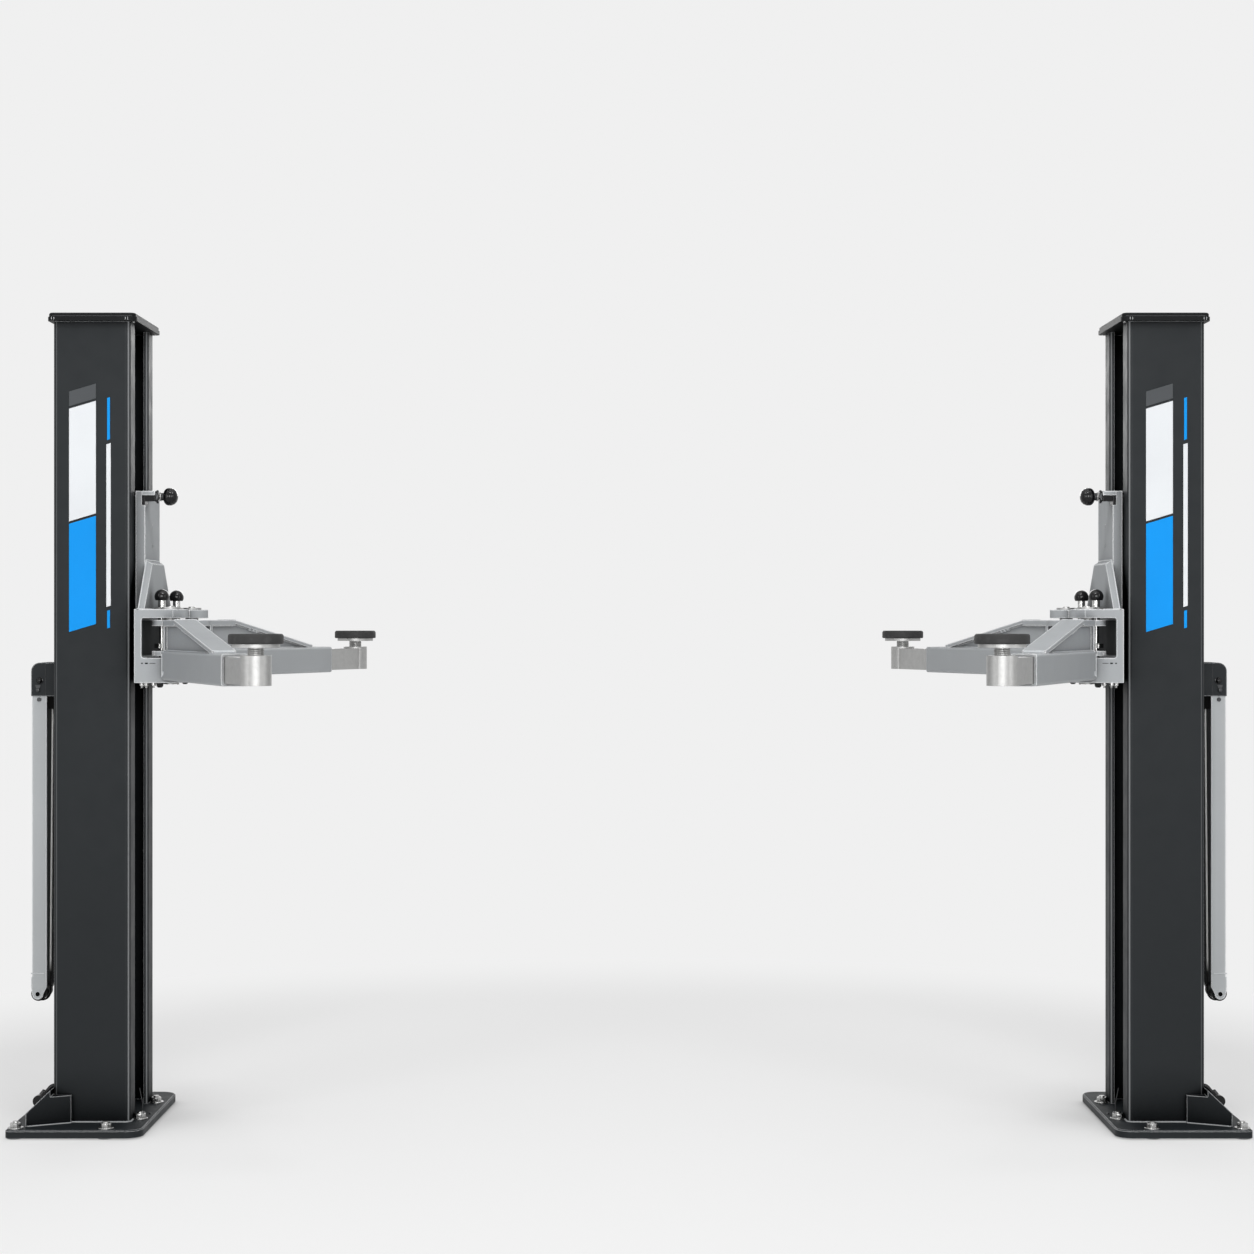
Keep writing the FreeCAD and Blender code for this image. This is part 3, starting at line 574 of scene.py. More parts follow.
def anchors(post, sign):
    """Washer, nut and threaded stud of every floor anchor."""
    washer = [(0, 0), (ANCHOR_WASHER_R, 0), (ANCHOR_WASHER_R, ANCHOR_WASHER_T * 0.7),
              (ANCHOR_WASHER_R - 0.8 * MM, ANCHOR_WASHER_T), (0, ANCHOR_WASHER_T)]
    washer_top = plate_top + ANCHOR_WASHER_T
    nut_top = washer_top + ANCHOR_NUT_H
    bm = bmesh.new()
    for x, y in anchor_places():
        lathe(bm, washer, (x, y, plate_top), UP)
        nut(bm, (x, y, washer_top), UP, ANCHOR_NUT_FLAT, ANCHOR_NUT_H)
        threaded(bm, (x, y, nut_top), UP, ANCHOR_STUD_R, ANCHOR_STUD_OUT, ANCHOR_PITCH)
    place(bm, f"{post}_floor_anchors", anchor_steel, "zinc_steel", "posts", sign)


COLUMN_LIP = 59 * MM
COLUMN_BEND = 9 * MM
GUSSET_FLARE = math.radians(25.3)
GUSSET_INNER = -47 * MM
GUSSET_OUTER = 52 * MM


def column_foot_weld(post, sign):
    """Beads round the column's foot and at the gussets' feet on the base plate, paler than the paint as a painted
    highlight.
    """
    x0, x1 = column_lo[0], column_hi[0]
    y1 = column_hi[1]
    z = plate_top
    r = COLUMN_BEND
    outline = [(x0, -y1 + COLUMN_LIP), (x0, -y1 + r), (x0 + r, -y1), (x1 - r, -y1), (x1, -y1 + r),
               (x1, y1 - r), (x1 - r, y1), (x0 + r, y1), (x0, y1 - r), (x0, y1 - COLUMN_LIP)]
    bm = bmesh.new()
    bead(bm, [(x, y, z) for x, y in outline], 3.0 * MM)
    for side in SIDES:
        foot = [(x, side * (y1 + 8 * MM + (x - x1 - GUSSET_INNER) * math.tan(GUSSET_FLARE)), z)
                for x in (x1 + GUSSET_INNER, x1, x1 + GUSSET_OUTER)]
        bead(bm, foot, 2.4 * MM)
    place(bm, f"{post}_column_weld", weld_dark, "dark_paint", "posts", sign, sharp=60)


HOOD_BOLT = (1.494, 1.1225)
HASP = ((1.4915, 1.1115), (1.5060, 1.1115), (1.5005, 1.0965), (1.4965, 1.0965))
HASP_T = 1.5 * MM
HASP_EYE = (1.4985, 1.0985)
HOOD_SEAM_X = (1.4795, 1.4803)
HANGER_SCREW = (1.496, 1.0745)


def hood_bolts(post, sign):
    """A ball headed bolt on each side of the hood."""
    rows = [(0, 0), (8.5, 0), (8.5, 1.6), (6.0, 2.4)]
    for i in range(1, 8):
        angle = math.pi / 2 * i / 8
        rows.append((7.4 * math.cos(angle) if i > 1 else 7.4, 3.0 + 6.5 * math.sin(angle)))
    rows.append((0, 9.6))
    bm = bmesh.new()
    for side in SIDES:
        lathe(bm, mm_rows(*rows), (HOOD_BOLT[0], side * hood_hi[1], HOOD_BOLT[1]), (0, side, 0), 32)
    place(bm, f"{post}_hood_bolts", gloss_black, "black_plastic", "posts", sign)


def hood_screws(post, sign):
    """A tapered hasp with a screw, a seam on each side of the hood, and a screw on each hanger bar."""
    bm = bmesh.new()
    for side in SIDES:
        y = side * hood_hi[1]
        out = (0, side, 0)
        hasp_y = y + side * HASP_T
        near = [bm.verts.new((x, y, z)) for x, z in HASP]
        far = [bm.verts.new((x, hasp_y, z)) for x, z in HASP]
        join_rings(bm, [near, far])
        bm.faces.new(far)
        lathe(bm, mm_rows((0, 0), (5.4, 0), (5.4, 2.0), (4.4, 3.4), (0, 4.2)),
              (HASP_EYE[0], hasp_y, HASP_EYE[1]), out, 24)
        seam_y = sorted((y, y + side * 0.5 * MM))
        slab(bm, (HOOD_SEAM_X[0], seam_y[0], hood_lo[2] + 2 * MM),
             (HOOD_SEAM_X[1], seam_y[1], hood_hi[2] - 4 * MM))
        nut(bm, (HANGER_SCREW[0], side * hanger_hi[1], HANGER_SCREW[1]), out, 5 * MM, 3.5 * MM)
    place(bm, f"{post}_hood_screws", black_steel, "dark_paint", "posts", sign)


def hanger_trim(post, sign):
    """A black sheet under the hood that is painted shade in the gap beside the rope, and a pale seam across each
    ear of the hanger, a painted highlight.
    """
    # A black sheet in the gap under the hood: painted shade
    bm = bmesh.new()
    for side in SIDES:
        y = side * (hanger_hi[1] - 8 * MM)
        slab(bm, (column_hi[0], y - 1 * MM, hood_lo[2] - 33 * MM),
             (hanger_lo[0] + 5 * MM, y + 1 * MM, hood_lo[2] + 4 * MM), 0.4 * MM)
    place(bm, f"{post}_rope_gap_shade", recess_shade_black, "dark_paint", "posts", sign)
    # A pale bar across each ear: a painted highlight along the step there
    bm = bmesh.new()
    for side in SIDES:
        y = side * hanger_hi[1]
        slab(bm, (axle.x - 17 * MM, y - 0.6 * MM, axle.z + 51 * MM),
             (axle.x + 17 * MM, y + 0.6 * MM, axle.z + 54 * MM), 0.4 * MM)
    place(bm, f"{post}_ear_seam_highlights", weld_highlight_grey, "strut_grey", "posts", sign)


def axle_ends(post, sign):
    """Retaining ring and dark centre at both ends of the roller's axle; the dark centre is painted shade of the
    hole.
    """
    bm = bmesh.new()
    for side in SIDES:
        lathe(bm, mm_rows((0, 0), (5.6, 0), (5.6, 0.8), (3.6, 1.2), (3.2, 0.3), (0, 0.3)),
              (axle.x, side * hanger_hi[1], axle.z), (0, side, 0), 28)
    place(bm, f"{post}_axle_rings", recess_shade_black, "black_plastic", f"{post}_return_roller", sign)


SLOT_SCREW = (1.233, -0.048)
SLOT_RIVETS = ((2, -9), (-18, 2))
SLOT_WIRE = ((3, 1, 5), (1, 2, 24), (5, 2, 44), (9, 1, 66))
SLOT_WIRE_R = 1.4 * MM


def slot_wire(post, sign):
    """Thin wire in the column's slot, held by a screw on the base plate, with two rivets beside it."""
    x, y = SLOT_SCREW
    z = plate_top
    bm = bmesh.new()
    lathe(bm, mm_rows((0, 0), (7.5, 0), (7.5, 2), (5.5, 5), (2.5, 6.5), (0, 6.8)), (x, y, z), UP, 24)
    for dx, dy in SLOT_RIVETS:
        lathe(bm, mm_rows((0, 0), (3.6, 0), (3.4, 1.2), (2, 2.4), (0, 2.8)),
              (x + dx * MM, y + dy * MM, z), UP, 20)
    curve = [Vector((x + dx * MM, y + dy * MM, z + dz * MM)) for dx, dy, dz in SLOT_WIRE]
    points = []
    for start, end in zip(curve, curve[1:]):
        points += along_line(start, end, 6 * MM)[:-1]
    tube_along(bm, points + [curve[-1]], SLOT_WIRE_R, 8)
    place(bm, f"{post}_slot_wire", black_steel, "zinc_steel", "posts", sign)


# Name, look, start and end across the face in millimetres, bottom and top in metres
STRIPES = (
    ("wide_blue", "blue", 0, 67, 1.256, 1.526),
    ("wide_silver", "silver", 0, 67, 1.532, 1.813),
    ("wide_end", "grey", 0, 67, 1.819, 1.856),
    ("thin_low", "blue", 95, 102, 1.256, 1.300),
    ("thin_middle", "silver", 93, 104, 1.310, 1.716),
    ("thin_high", "blue", 95, 102, 1.726, 1.831),
)
STRIPE_START = {"left": -1.397, "right": 1.290}
STRIPE_SLANT = 0.3
STRIPE_LOOKS = {"blue": (stripe_blue, "dark_paint"), "silver": (stripe_silver, "grey_paint"),
                "grey": (stripe_grey, "dark_paint")}
STRIPE_T = 0.4 * MM


def stripes(post):
    """A plain wide and a plain thin stripe on the column's front face, the wide one always on the left."""
    face_y = column_lo[1]
    for name, look, start, end, z0, z1 in STRIPES:
        x0 = STRIPE_START[post] + start * MM
        x1 = STRIPE_START[post] + end * MM
        rise = (x1 - x0) * STRIPE_SLANT / 2
        outline = [(x0, z0 - rise), (x1, z0 + rise), (x1, z1 + rise), (x0, z1 - rise)]
        bm = bmesh.new()
        back = [bm.verts.new((x, face_y + STRIPE_T, z)) for x, z in outline]
        front = [bm.verts.new((x, face_y - STRIPE_T, z)) for x, z in outline]
        join_rings(bm, [back, front])
        bm.faces.new(front)
        bm.faces.new(list(reversed(back)))
        place(bm, f"{post}_{name}_stripe", *STRIPE_LOOKS[look], "posts")


def cap_marks(post, sign):
    """Ribs at the cap's corners and a line along its faces, paler than the cap as painted highlights, and a screw
    under its inner edge.
    """
    low = column_hi[2]
    x0, x1 = column_lo[0], column_hi[0]
    # Pale ribs at the corners: painted highlights
    bm = bmesh.new()
    for side in SIDES:
        y = side * cap_hi[1]
        for x in (x0 + 3 * MM, x0 + 9 * MM, x1 - 5 * MM, x1 + 1 * MM):
            slab(bm, (x - 1 * MM, y - 0.7 * MM, low + 2 * MM), (x + 1 * MM, y + 0.7 * MM, low + 9 * MM),
                 0.4 * MM)
    place(bm, f"{post}_cap_rib_highlights", weld_dark, "black_plastic", "posts", sign)
    # A pale line along the faces: a painted highlight
    bm = bmesh.new()
    for side in SIDES:
        y = side * cap_hi[1]
        slab(bm, (x0 - 8 * MM, y - 0.6 * MM, low + 11 * MM), (x1, y + 0.6 * MM, low + 12.5 * MM), 0.3 * MM)
    place(bm, f"{post}_cap_line_highlights", cap_highlight_grey, "black_plastic", "posts", sign)
    bm = bmesh.new()
    for side in SIDES:
        lathe(bm, mm_rows((0, 0), (4, 0), (4, 1.5), (2.5, 3), (0, 3.4)),
              (x0 - 6 * MM, side * 138 * MM, low), DOWN, 20)
    place(bm, f"{post}_cap_screws", anchor_steel, "zinc_steel", "posts", sign)


ROPE_R = 2.5 * MM
ROPE_BOSS_R = 18.3 * MM
ROPE_BOSS_IN = 14.5 * MM
STRANDS = 6
STRAND_R = 0.86 * MM
LAY = 28 * MM
ROPE_STEP = 3.2 * MM


def rope_path():
    """Closed centre line of the rope, evenly spaced, from the solids that it goes round."""
    low_r = axle.z - ropes_lo[2] - ROPE_R
    high_r = ROPE_BOSS_R
    low = Vector((axle.x, 0, axle.z))
    high = Vector((hanger_lo[0] + ROPE_BOSS_IN, 0, ropes_hi[2] - ROPE_R - high_r))
    along = high - low
    length = along.length
    along.normalize()
    across = Vector((along.z, 0, -along.x))
    lean = (low_r - high_r) / length
    side = math.sqrt(1 - lean * lean)
    outward = along * lean + across * side
    inward = along * lean - across * side

    def bend(centre, r, start, turn):
        count = max(6, int(r * abs(turn) / ROPE_STEP))
        first = math.atan2(start.z, start.x)
        angles = [first + turn * i / count for i in range(1, count)]
        return [centre + Vector((math.cos(a), 0, math.sin(a))) * r for a in angles]

    wrap = 2 * math.acos(lean)
    points = along_line(low + outward * low_r, high + outward * high_r, ROPE_STEP)
    points += bend(high, high_r, outward, wrap)
    points += along_line(high + inward * high_r, low + inward * low_r, ROPE_STEP)
    return points + bend(low, low_r, inward, 2 * math.pi - wrap)


def rope(post, sign):
    """Six strands laid round a core."""
    path = rope_path()
    total = sum((b - a).length for a, b in zip(path, path[1:] + path[:1]))
    turns = round(total / LAY)
    bm = bmesh.new()
    level = Vector((0, 1, 0))
    for strand in range(STRANDS + 1):
        radius = 0.0 if strand == STRANDS else ROPE_R - STRAND_R
        points = []
        run = 0.0
        for i, here in enumerate(path):
            after = path[(i + 1) % len(path)]
            out = (after - path[i - 1]).normalized().cross(level)
            angle = 2 * math.pi * (turns * run / total + strand / STRANDS)
            points.append(here + (out * math.cos(angle) + level * math.sin(angle)) * radius)
            run += (after - here).length
        tube_along(bm, points, STRAND_R, 6, closed=True)
    return place(bm, f"{post}_wire_rope", finishes["wire_steel"], "wire_steel", "posts", sign, sharp=80)


# Fittings on the carriages

BUMPER_PLATE_IN = 25 * MM
BUMPER_BAR_HALF = 17 * MM
BUMPER_BAR_DROP = 11 * MM
BUMPER_HEAD_R = 22.4
BUMPER_DOME_START = 14.4
BUMPER_DOME_DEPTH = 20.4
BUMPER_RIDGES = (4, 8, 12)


def bumper(post, sign):
    """Support bar, nut, threaded stem, bright ring and ridged ball head of the door bumper, and a black block
    filling the notch beside the bar as painted shade.
    """
    carriage = f"{post}_carriage"
    face = panel_x - BUMPER_PLATE_IN
    y = (bumper_lo[1] + bumper_hi[1]) / 2
    z = (bumper_lo[2] + bumper_hi[2]) / 2
    top = carriage_top - BUMPER_BAR_DROP
    half = BUMPER_BAR_HALF
    bm = bmesh.new()
    slab(bm, (face, y - half, top - 15 * MM), (panel_x, y + half, top), 1 * MM)
    # A black block filling the notch beside the bar: painted shade
    slab(bm, (panel_x, y - half, top - 24 * MM), (panel_x + 8 * MM, y + half, top), 1 * MM)
    place(bm, f"{post}_bumper_bar", gloss_black, "black_rubber", carriage, sign)
    bm = bmesh.new()
    nut(bm, (face, y, z), INWARD, 14.4 * MM, 7 * MM)
    lathe(bm, mm_rows((0, 0), (9.5, 0), (9.5, 5), (7, 6), (0, 6)), (face - 14 * MM, y, z), INWARD, 28)
    place(bm, f"{post}_bumper_nut", black_steel, "black_rubber", carriage, sign)
    bm = bmesh.new()
    threaded(bm, (face - 6 * MM, y, z), INWARD, 7.5 * MM, 15 * MM, 2 * MM)
    lathe(bm, mm_rows((0, 0), (10.5, 0), (11.5, 1), (11.5, 2.5), (10.5, 3.5), (0, 3.5)),
          (face - 10.5 * MM, y, z), INWARD, 28)
    place(bm, f"{post}_bumper_stem", anchor_steel, "zinc_steel", carriage, sign)
    rows = [(0, 0), (13, 0), (16, 1.5), (19.5, 4.5), (21.8, 8.5), (22.4, 12), (22.0, 13.2), (22.4, 14.4)]
    for i in range(1, 16):
        angle = math.pi / 2 * i / 16
        ridge = -0.9 if i in BUMPER_RIDGES else 0
        rows.append((BUMPER_HEAD_R * math.cos(angle) ** 0.85 + ridge,
                     BUMPER_DOME_START + BUMPER_DOME_DEPTH * math.sin(angle)))
    rows.append((0, BUMPER_DOME_START + BUMPER_DOME_DEPTH))
    bm = bmesh.new()
    lathe(bm, mm_rows(*rows), (face - 20 * MM, y, z), INWARD, 48)
    ball = place(bm, f"{post}_bumper_head", gloss_black, "black_rubber", carriage, sign, sharp=40)
    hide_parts(f"{post}_door_bumper")


BOX_SCREWS = ((1.212, 0.168), (1.199, 0.176), (1.183, 0.166))
BOX_PLUG = (1.166, 0.172)
PANEL_SCREW_Z = (1.466, 1.517)
RESTRAINT_PIN = (1.175, 0.100)


def bracket_fittings(post, sign):
    """Screws and plugs under the box, panel screws, a dark sheet that is painted shade in the window, pivot caps
    and washers of the pins.
    """
    carriage = f"{post}_carriage"
    low = bracket_lo[2]
    bm = bmesh.new()
    for side in SIDES:
        for x, y in BOX_SCREWS:
            lathe(bm, mm_rows((0, 0), (7, 0), (7, 2), (0, 2)), (x, side * y, low), DOWN, 24)
            nut(bm, (x, side * y, low - 2 * MM), DOWN, 5.2 * MM, 6 * MM)
            threaded(bm, (x, side * y, low - 8 * MM), DOWN, 3 * MM, 5 * MM, 1.2 * MM)
    place(bm, f"{post}_box_screws", anchor_steel, "zinc_steel", carriage, sign)
    bm = bmesh.new()
    for side in SIDES:
        lathe(bm, mm_rows((0, 0), (9, 0), (9, 3), (8, 9), (5, 12), (0, 12.5)),
              (BOX_PLUG[0], side * BOX_PLUG[1], low), DOWN, 32)
    place(bm, f"{post}_box_plugs", gloss_black, "black_plastic", carriage, sign)
    bm = bmesh.new()
    for z in PANEL_SCREW_Z:
        lathe(bm, mm_rows((0, 0), (4, 0), (3.6, 0.8), (2, 0.8), (2, 0.2), (0, 0.2)),
              (panel_x, 0, z), INWARD, 24)
    place(bm, f"{post}_panel_screws", weld_dark, "grey_paint", carriage, sign)
    # A dark sheet on the back of the window: painted shade there
    bm = bmesh.new()
    face = panel_x - 9 * MM
    slab(bm, (face - 0.8 * MM, bracket_lo[1] + 7 * MM, box_top + 7 * MM),
         (face, bracket_hi[1] - 7 * MM, shelf_top - 29 * MM), 0.3 * MM)
    place(bm, f"{post}_window_shade_sheet", window_painted_shade, "black_plastic", carriage, sign)
    bm = bmesh.new()
    for y in (pivot.y, -pivot.y):
        lathe(bm, mm_rows((0, 0), (9, 0), (9, 2), (8, 3), (4.6, 3), (4.6, 1), (0, 1)),
              (pivot.x, y, pins_top), UP, 28)
    place(bm, f"{post}_pivot_caps", anchor_steel, "zinc_steel", carriage, sign)
    bm = bmesh.new()
    for side in SIDES:
        lathe(bm, mm_rows((9.6, 0), (19, 0), (19, 1.2), (16.5, 2.6), (16.3, 4.6), (9.6, 5.2)),
              (RESTRAINT_PIN[0], side * RESTRAINT_PIN[1], shelf_top), UP, 40)
    place(bm, f"{post}_stem_washers", finishes["zinc_steel"], "zinc_steel", carriage, sign)


# X in metres, width and height in millimetres of each mark on the box's ends
BOX_MARKS = ((1.2075, 4.0, 2.6), (1.1965, 7.0, 3.2), (1.1815, 15.0, 1.0))
BOX_MARK_Z = 1.1685


def box_marks(post, sign):
    """Short slots and a scored line high on the box's ends, drawn as black marks that are painted shade."""
    z = BOX_MARK_Z
    bm = bmesh.new()
    for side in SIDES:
        y = side * bracket_hi[1]
        for x, width, height in BOX_MARKS:
            dx = width * MM / 2
            dz = height * MM / 2
            slab(bm, (x - dx, y - 0.5 * MM, z - dz), (x + dx, y + 0.5 * MM, z + dz), 0.3 * MM)
    place(bm, f"{post}_box_marks", recess_shade_black, "grey_paint", f"{post}_carriage", sign)


CHANNEL_HALF = 95 * MM
STIFFENER_TOP_HALF = 86 * MM


def bracket_welds(post, sign):
    """Beads at the stiffener's edges and up the channel's corners, paler than the paint as a painted highlight."""
    half = bracket_hi[1]
    stiff_x = stiffener_lo[0] + 1 * MM
    stiff_top = stiffener_hi[2]
    outer_x = panel_x + 1 * MM
    inner_x = panel_x - 1 * MM
    bm = bmesh.new()
    for side in SIDES:
        bead(bm, [(outer_x, side * half, shelf_top), (outer_x, side * CHANNEL_HALF, shelf_top)], 2.4 * MM)
        bead(bm, [(inner_x, side * (half - 1 * MM), shelf_top),
                  (inner_x, side * STIFFENER_TOP_HALF, stiff_top - 1 * MM)], 1.8 * MM)
    across = STIFFENER_TOP_HALF - 1 * MM
    bead(bm, [(inner_x, -across, stiff_top), (inner_x, across, stiff_top)], 2.2 * MM)
    across = half - 12 * MM
    bead(bm, [(stiff_x, -across, shelf_top), (stiff_x, across, shelf_top)], 2.2 * MM)
    place(bm, f"{post}_bracket_welds", weld_highlight_grey, "grey_paint", f"{post}_carriage", sign, sharp=60)


# Fittings on the arms

ARM_ANGLE = math.radians(67.5)
TUBE_HALF = 31 * MM
TOP_HALF = 28 * MM
WEB_ACROSS = 21 * MM
TUBE_TOP = arm_lo[2] + 73 * MM
WEB_START = 57 * MM
WEB_END = 486 * MM
SLOPE_START = 170 * MM
SLOPE_END = 580 * MM
SLOPE_FALL = 0.1707
SLOPE_BEADS = (245 * MM, 262 * MM, 278 * MM)


def arm_point(along, across, z):
    """A place on the right front arm, from its pivot out."""
    direction = Vector((-math.cos(ARM_ANGLE), -math.sin(ARM_ANGLE), 0))
    side = Vector((-direction.y, direction.x, 0))
    return Vector((pivot.x, pivot.y, z)) + direction * along + side * across


def arm_welds(name, sign_x, sign_y):
    """Beads along the inset webs, under and across the sloping plate and at the tube's root, paler than the paint
    as a painted highlight.
    """
    bm = bmesh.new()

    def run(radius, *ends):
        bead(bm, [arm_point(*end) for end in ends], radius)

    low = arm_lo[2]
    high = arm_hi[2]
    for side in SIDES:
        web = side * WEB_ACROSS
        run(2.4 * MM, (WEB_START, web, TUBE_TOP), (WEB_END, web, TUBE_TOP))
        edge = side * TUBE_HALF
        run(1.8 * MM, (46 * MM, edge, low + 8 * MM), (46 * MM, edge, TUBE_TOP - 8 * MM))
        run(2.6 * MM, (58 * MM, edge, low + 12 * MM), (62 * MM, edge, low + 22 * MM))
        web += side * 2 * MM
        for along in SLOPE_BEADS:
            z = high - 10 * MM - (along - SLOPE_START) * SLOPE_FALL
            run(4.0 * MM, (along, web, z - 1 * MM), (along + 9 * MM, web, z - 3 * MM))
    foot = TOP_HALF - 4 * MM
    run(4.5 * MM, (SLOPE_END, -foot, TUBE_TOP + 2 * MM), (SLOPE_END, foot, TUBE_TOP + 2 * MM))
    run(1.6 * MM, (SLOPE_START, -TOP_HALF, high), (SLOPE_START, TOP_HALF, high))
    place(bm, f"{name}_welds", weld_highlight_grey, "grey_paint", name, sign_x, sign_y, sharp=60)


PAD_RIM_FACE = 9 * MM
PAD_RIB_PITCH = 9.5 * MM
PAD_GROOVE = 2.4 * MM
SCREW_THREAD_UP = 62 * MM


def pad(corner, sign_x, sign_y):
    """Round rubber pad with concentric ribs on its face, and the thread of the screw under it."""
    x = (pad_lo[0] + pad_hi[0]) / 2
    y = (pad_lo[1] + pad_hi[1]) / 2
    rim = (pad_hi[1] - pad_lo[1]) / 2
    height = pad_hi[2] - pad_lo[2]
    profile = [(0, 0), (rim - 2 * MM, 0), (rim, 2 * MM), (rim, height - 5 * MM),
               (rim - 1.4 * MM, height - 2 * MM), (rim - 4 * MM, height)]
    r = rim - PAD_RIM_FACE
    while r > 8 * MM:
        profile += [(r, height), (r - 1 * MM, height - PAD_GROOVE), (r - 3.4 * MM, height - PAD_GROOVE),
                    (r - 4.4 * MM, height)]
        r -= PAD_RIB_PITCH
    profile.append((0, height))
    bm = bmesh.new()
    lathe(bm, profile, (x, y, pad_lo[2]), UP, 64)
    arm = f"{corner}_arm"
    cushion = place(bm, f"{corner}_rubber_pad", finishes["black_rubber"], "black_rubber", arm,
                    sign_x, sign_y, sharp=25)
    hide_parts(f"{corner}_lifting_pad")
    bm = bmesh.new()
    threaded(bm, (x, y, extension_low + SCREW_THREAD_UP), UP, 18.4 * MM, 18 * MM, 4 * MM)
    place(bm, f"{corner}_screw_thread", finishes["zinc_steel"], "zinc_steel", arm, sign_x, sign_y)


for post, sign in POSTS.items():
    anchors(post, sign)
    column_foot_weld(post, sign)
    hood_bolts(post, sign)
    hood_screws(post, sign)
    hanger_trim(post, sign)
    axle_ends(post, sign)
    slot_wire(post, sign)
    stripes(post)
    cap_marks(post, sign)
    bumper(post, sign)
    bracket_fittings(post, sign)
    box_marks(post, sign)
    bracket_welds(post, sign)
    for end, sign_y in ENDS.items():
        arm_welds(f"{post}_{end}_arm", sign, sign_y)
        pad(f"{post}_{end}", sign, sign_y)

ropes = [rope(post, sign) for post, sign in POSTS.items()]
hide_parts("rope_loops")


# Studio

BACKGROUND = (0.871, 0.871, 0.871)
WORLD_LIGHT = 0.30

FLOOR_SIZE = 120
FLOOR_DROP = 0.5 * MM
FLOOR_COLOUR = (0.42, 0.42, 0.42)
FLOOR_GLOW = (0.45, 0.45, 0.45)
FLOOR_BOUNCE = (0.75, 0.75, 0.75)
# Colour, reach and strength of the painted shadow near the feet
PAINTED_SHADOW = (0.08, 0.08, 0.08)
PAINTED_SHADOW_REACH = 0.45
PAINTED_SHADOW_STRENGTH = 0.55

# Distances from the middle of the bay between which the floor fades into the background
FADE = (1.9, 3.0)

# Name, place, target, width, height and watts of each lamp
LAMPS = (
    ("front", (0, -7.5, 2.2), (0, 0, 1.1), 4.5, 3.0, 270),
    ("above", (0, -0.6, 5.4), (0, 0, 1.2), 6.0, 3.0, 62),
    ("key", (0, -2.2, 4.6), (0, 0, 1.2), 1.7, 0.5, 66),
    ("left_strip", (-3.4, -2.6, 1.9), (-1.3, 0, 1.2), 0.7, 2.6, 22),
    ("right_strip", (3.4, -2.6, 1.9), (1.3, 0, 1.2), 0.7, 2.6, 22),
    ("back", (0, 6.0, 3.0), (0, 0, 1.2), 4.5, 2.0, 90),
)


def seen_directly(graph):
    """1 for camera, glossy and transmission rays, which see the pale background, and 0 for others."""
    path = graph.add("ShaderNodeLightPath").outputs
    seen = path["Is Camera Ray"]
    for kind in ("Is Glossy Ray", "Is Transmission Ray"):
        seen = graph.maths("MAXIMUM", seen, path[kind])
    return seen


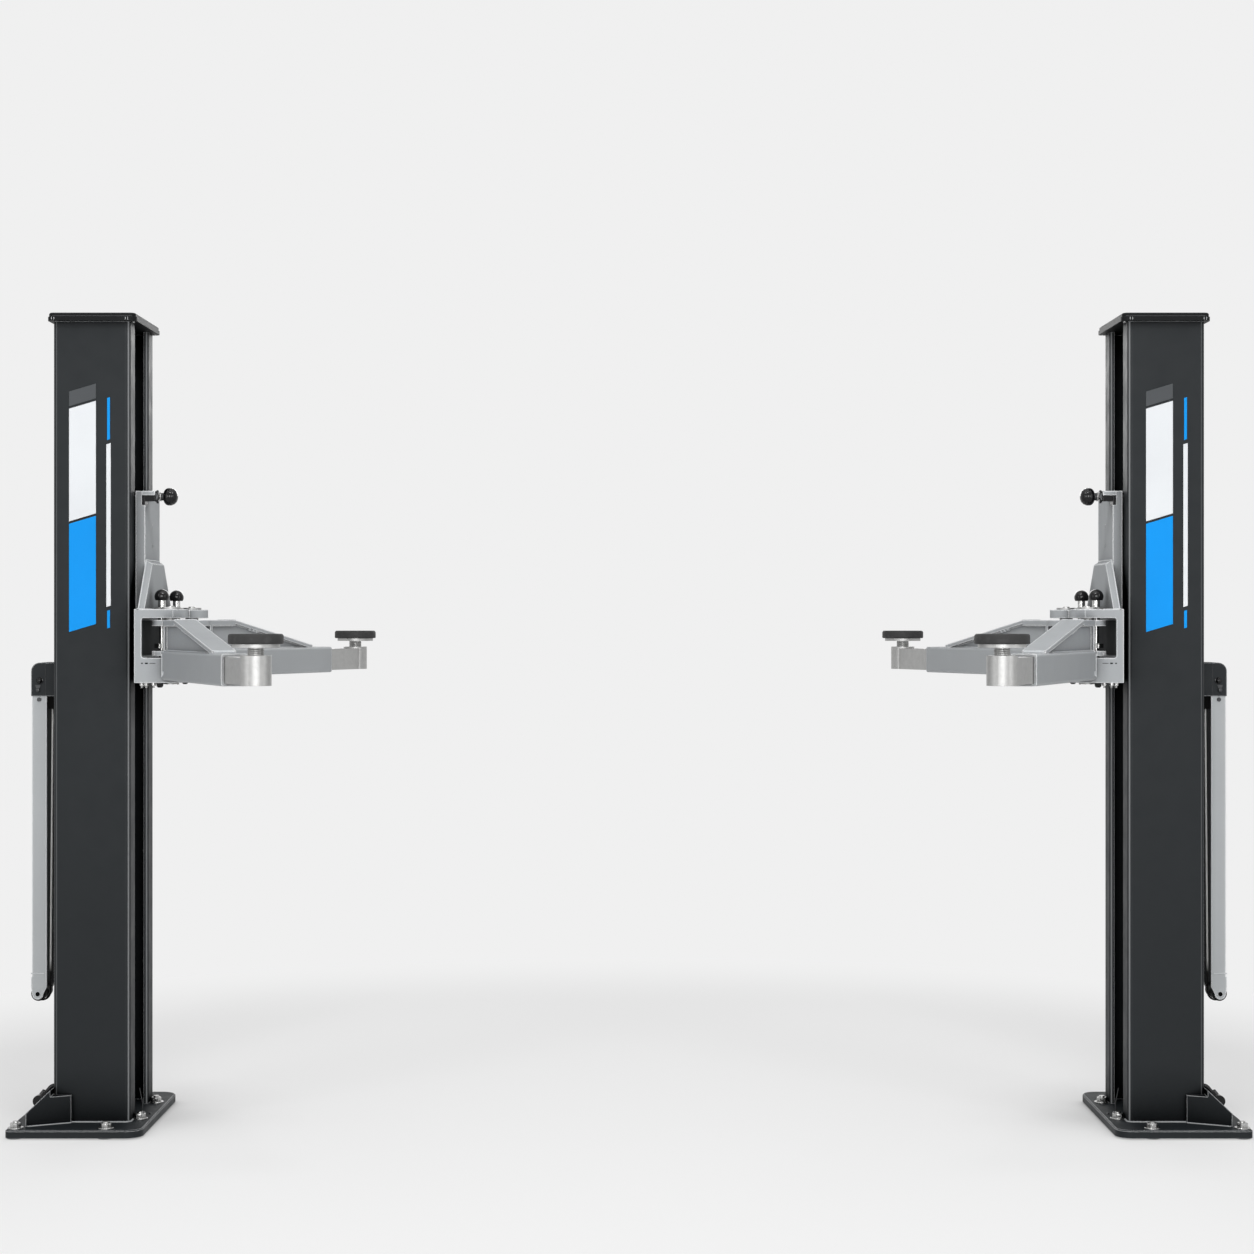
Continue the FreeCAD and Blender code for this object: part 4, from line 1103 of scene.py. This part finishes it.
def backdrop():
    """A pale floor that keeps the lift's soft shadow, with a painted shadow added near each foot, and fades into
    the background away from it.
    """
    bpy.ops.mesh.primitive_plane_add(size=FLOOR_SIZE, location=(0, 0, -FLOOR_DROP))
    floor = bpy.context.object
    floor.name = "floor"
    material = bpy.data.materials.new("floor")
    material.use_nodes = True
    g = Graph(material.node_tree)
    g.nodes.clear()
    place = g.add("ShaderNodeTexCoord").outputs["Object"]
    bright = g.add("ShaderNodeAddShader")
    g.links.new(g.source("ShaderNodeBsdfDiffuse", FLOOR_COLOUR), bright.inputs[0])
    g.links.new(g.source("ShaderNodeEmission", FLOOR_GLOW), bright.inputs[1])

    # A painted shadow, deepest behind the inner side of each foot
    spot = g.axes(place)
    covered = g.ramp(g.open_air(PAINTED_SHADOW_REACH, samples=16), 1.0, 0.4, 0.0, PAINTED_SHADOW_STRENGTH)
    inner_side = g.ramp(g.maths("ABSOLUTE", spot["X"]), 1.45, 1.20, 0.1, 1.0)
    behind = g.ramp(spot["Y"], -0.30, 0.0, 0.2, 1.0)
    shadow = g.maths("MULTIPLY", g.maths("MULTIPLY", covered, inner_side), behind)
    near = g.mix_shaders(shadow, bright.outputs["Shader"], g.source("ShaderNodeEmission", PAINTED_SHADOW))

    length = g.add("ShaderNodeVectorMath", operation="LENGTH")
    g.links.new(place, length.inputs[0])
    fade = g.ramp(length.outputs["Value"], *FADE, 0.0, 1.0, interpolation_type="SMOOTHSTEP")
    whole = g.mix_shaders(fade, near, g.source("ShaderNodeEmission", BACKGROUND))
    seen = g.mix_shaders(seen_directly(g), g.source("ShaderNodeBsdfDiffuse", FLOOR_BOUNCE), whole)
    g.links.new(seen, g.add("ShaderNodeOutputMaterial").inputs["Surface"])
    floor.data.materials.append(material)


def surroundings():
    """Even world light, with the pale background seen by the camera, in reflections and through glass."""
    world = bpy.data.worlds.new("studio")
    bpy.context.scene.world = world
    world.use_nodes = True
    g = Graph(world.node_tree)
    g.nodes.clear()
    soft = g.source("ShaderNodeBackground", (1, 1, 1), WORLD_LIGHT)
    both = g.mix_shaders(seen_directly(g), soft, g.source("ShaderNodeBackground", BACKGROUND))
    g.links.new(both, g.add("ShaderNodeOutputWorld").inputs["Surface"])


def softbox(name, location, target, width, height, power):
    light = bpy.data.lights.new(name, "AREA")
    light.shape = "RECTANGLE"
    light.size = width
    light.size_y = height
    light.energy = power
    lamp = bpy.data.objects.new(name, light)
    lamp.location = location
    lamp.rotation_euler = (Vector(target) - Vector(location)).to_track_quat("-Z", "Y").to_euler()
    bpy.context.scene.collection.objects.link(lamp)


def camera():
    data = bpy.data.cameras.new("camera")
    data.sensor_width = SENSOR
    data.lens = PHOTO_FOCAL / PHOTO_SIZE * SENSOR
    data.shift_x = (PHOTO_SIZE / 2 - PHOTO_CENTRE[0]) / PHOTO_SIZE
    data.shift_y = (PHOTO_CENTRE[1] - PHOTO_SIZE / 2) / PHOTO_SIZE
    body = bpy.data.objects.new("camera", data)
    body.location = (0, -CAMERA_DISTANCE, CAMERA_HEIGHT)
    body.rotation_euler = (math.pi / 2, 0, 0)
    bpy.context.scene.collection.objects.link(body)
    bpy.context.scene.camera = body


backdrop()
surroundings()
for lamp in LAMPS:
    softbox(*lamp)
camera()
bpy.context.scene.view_settings.view_transform = "Standard"
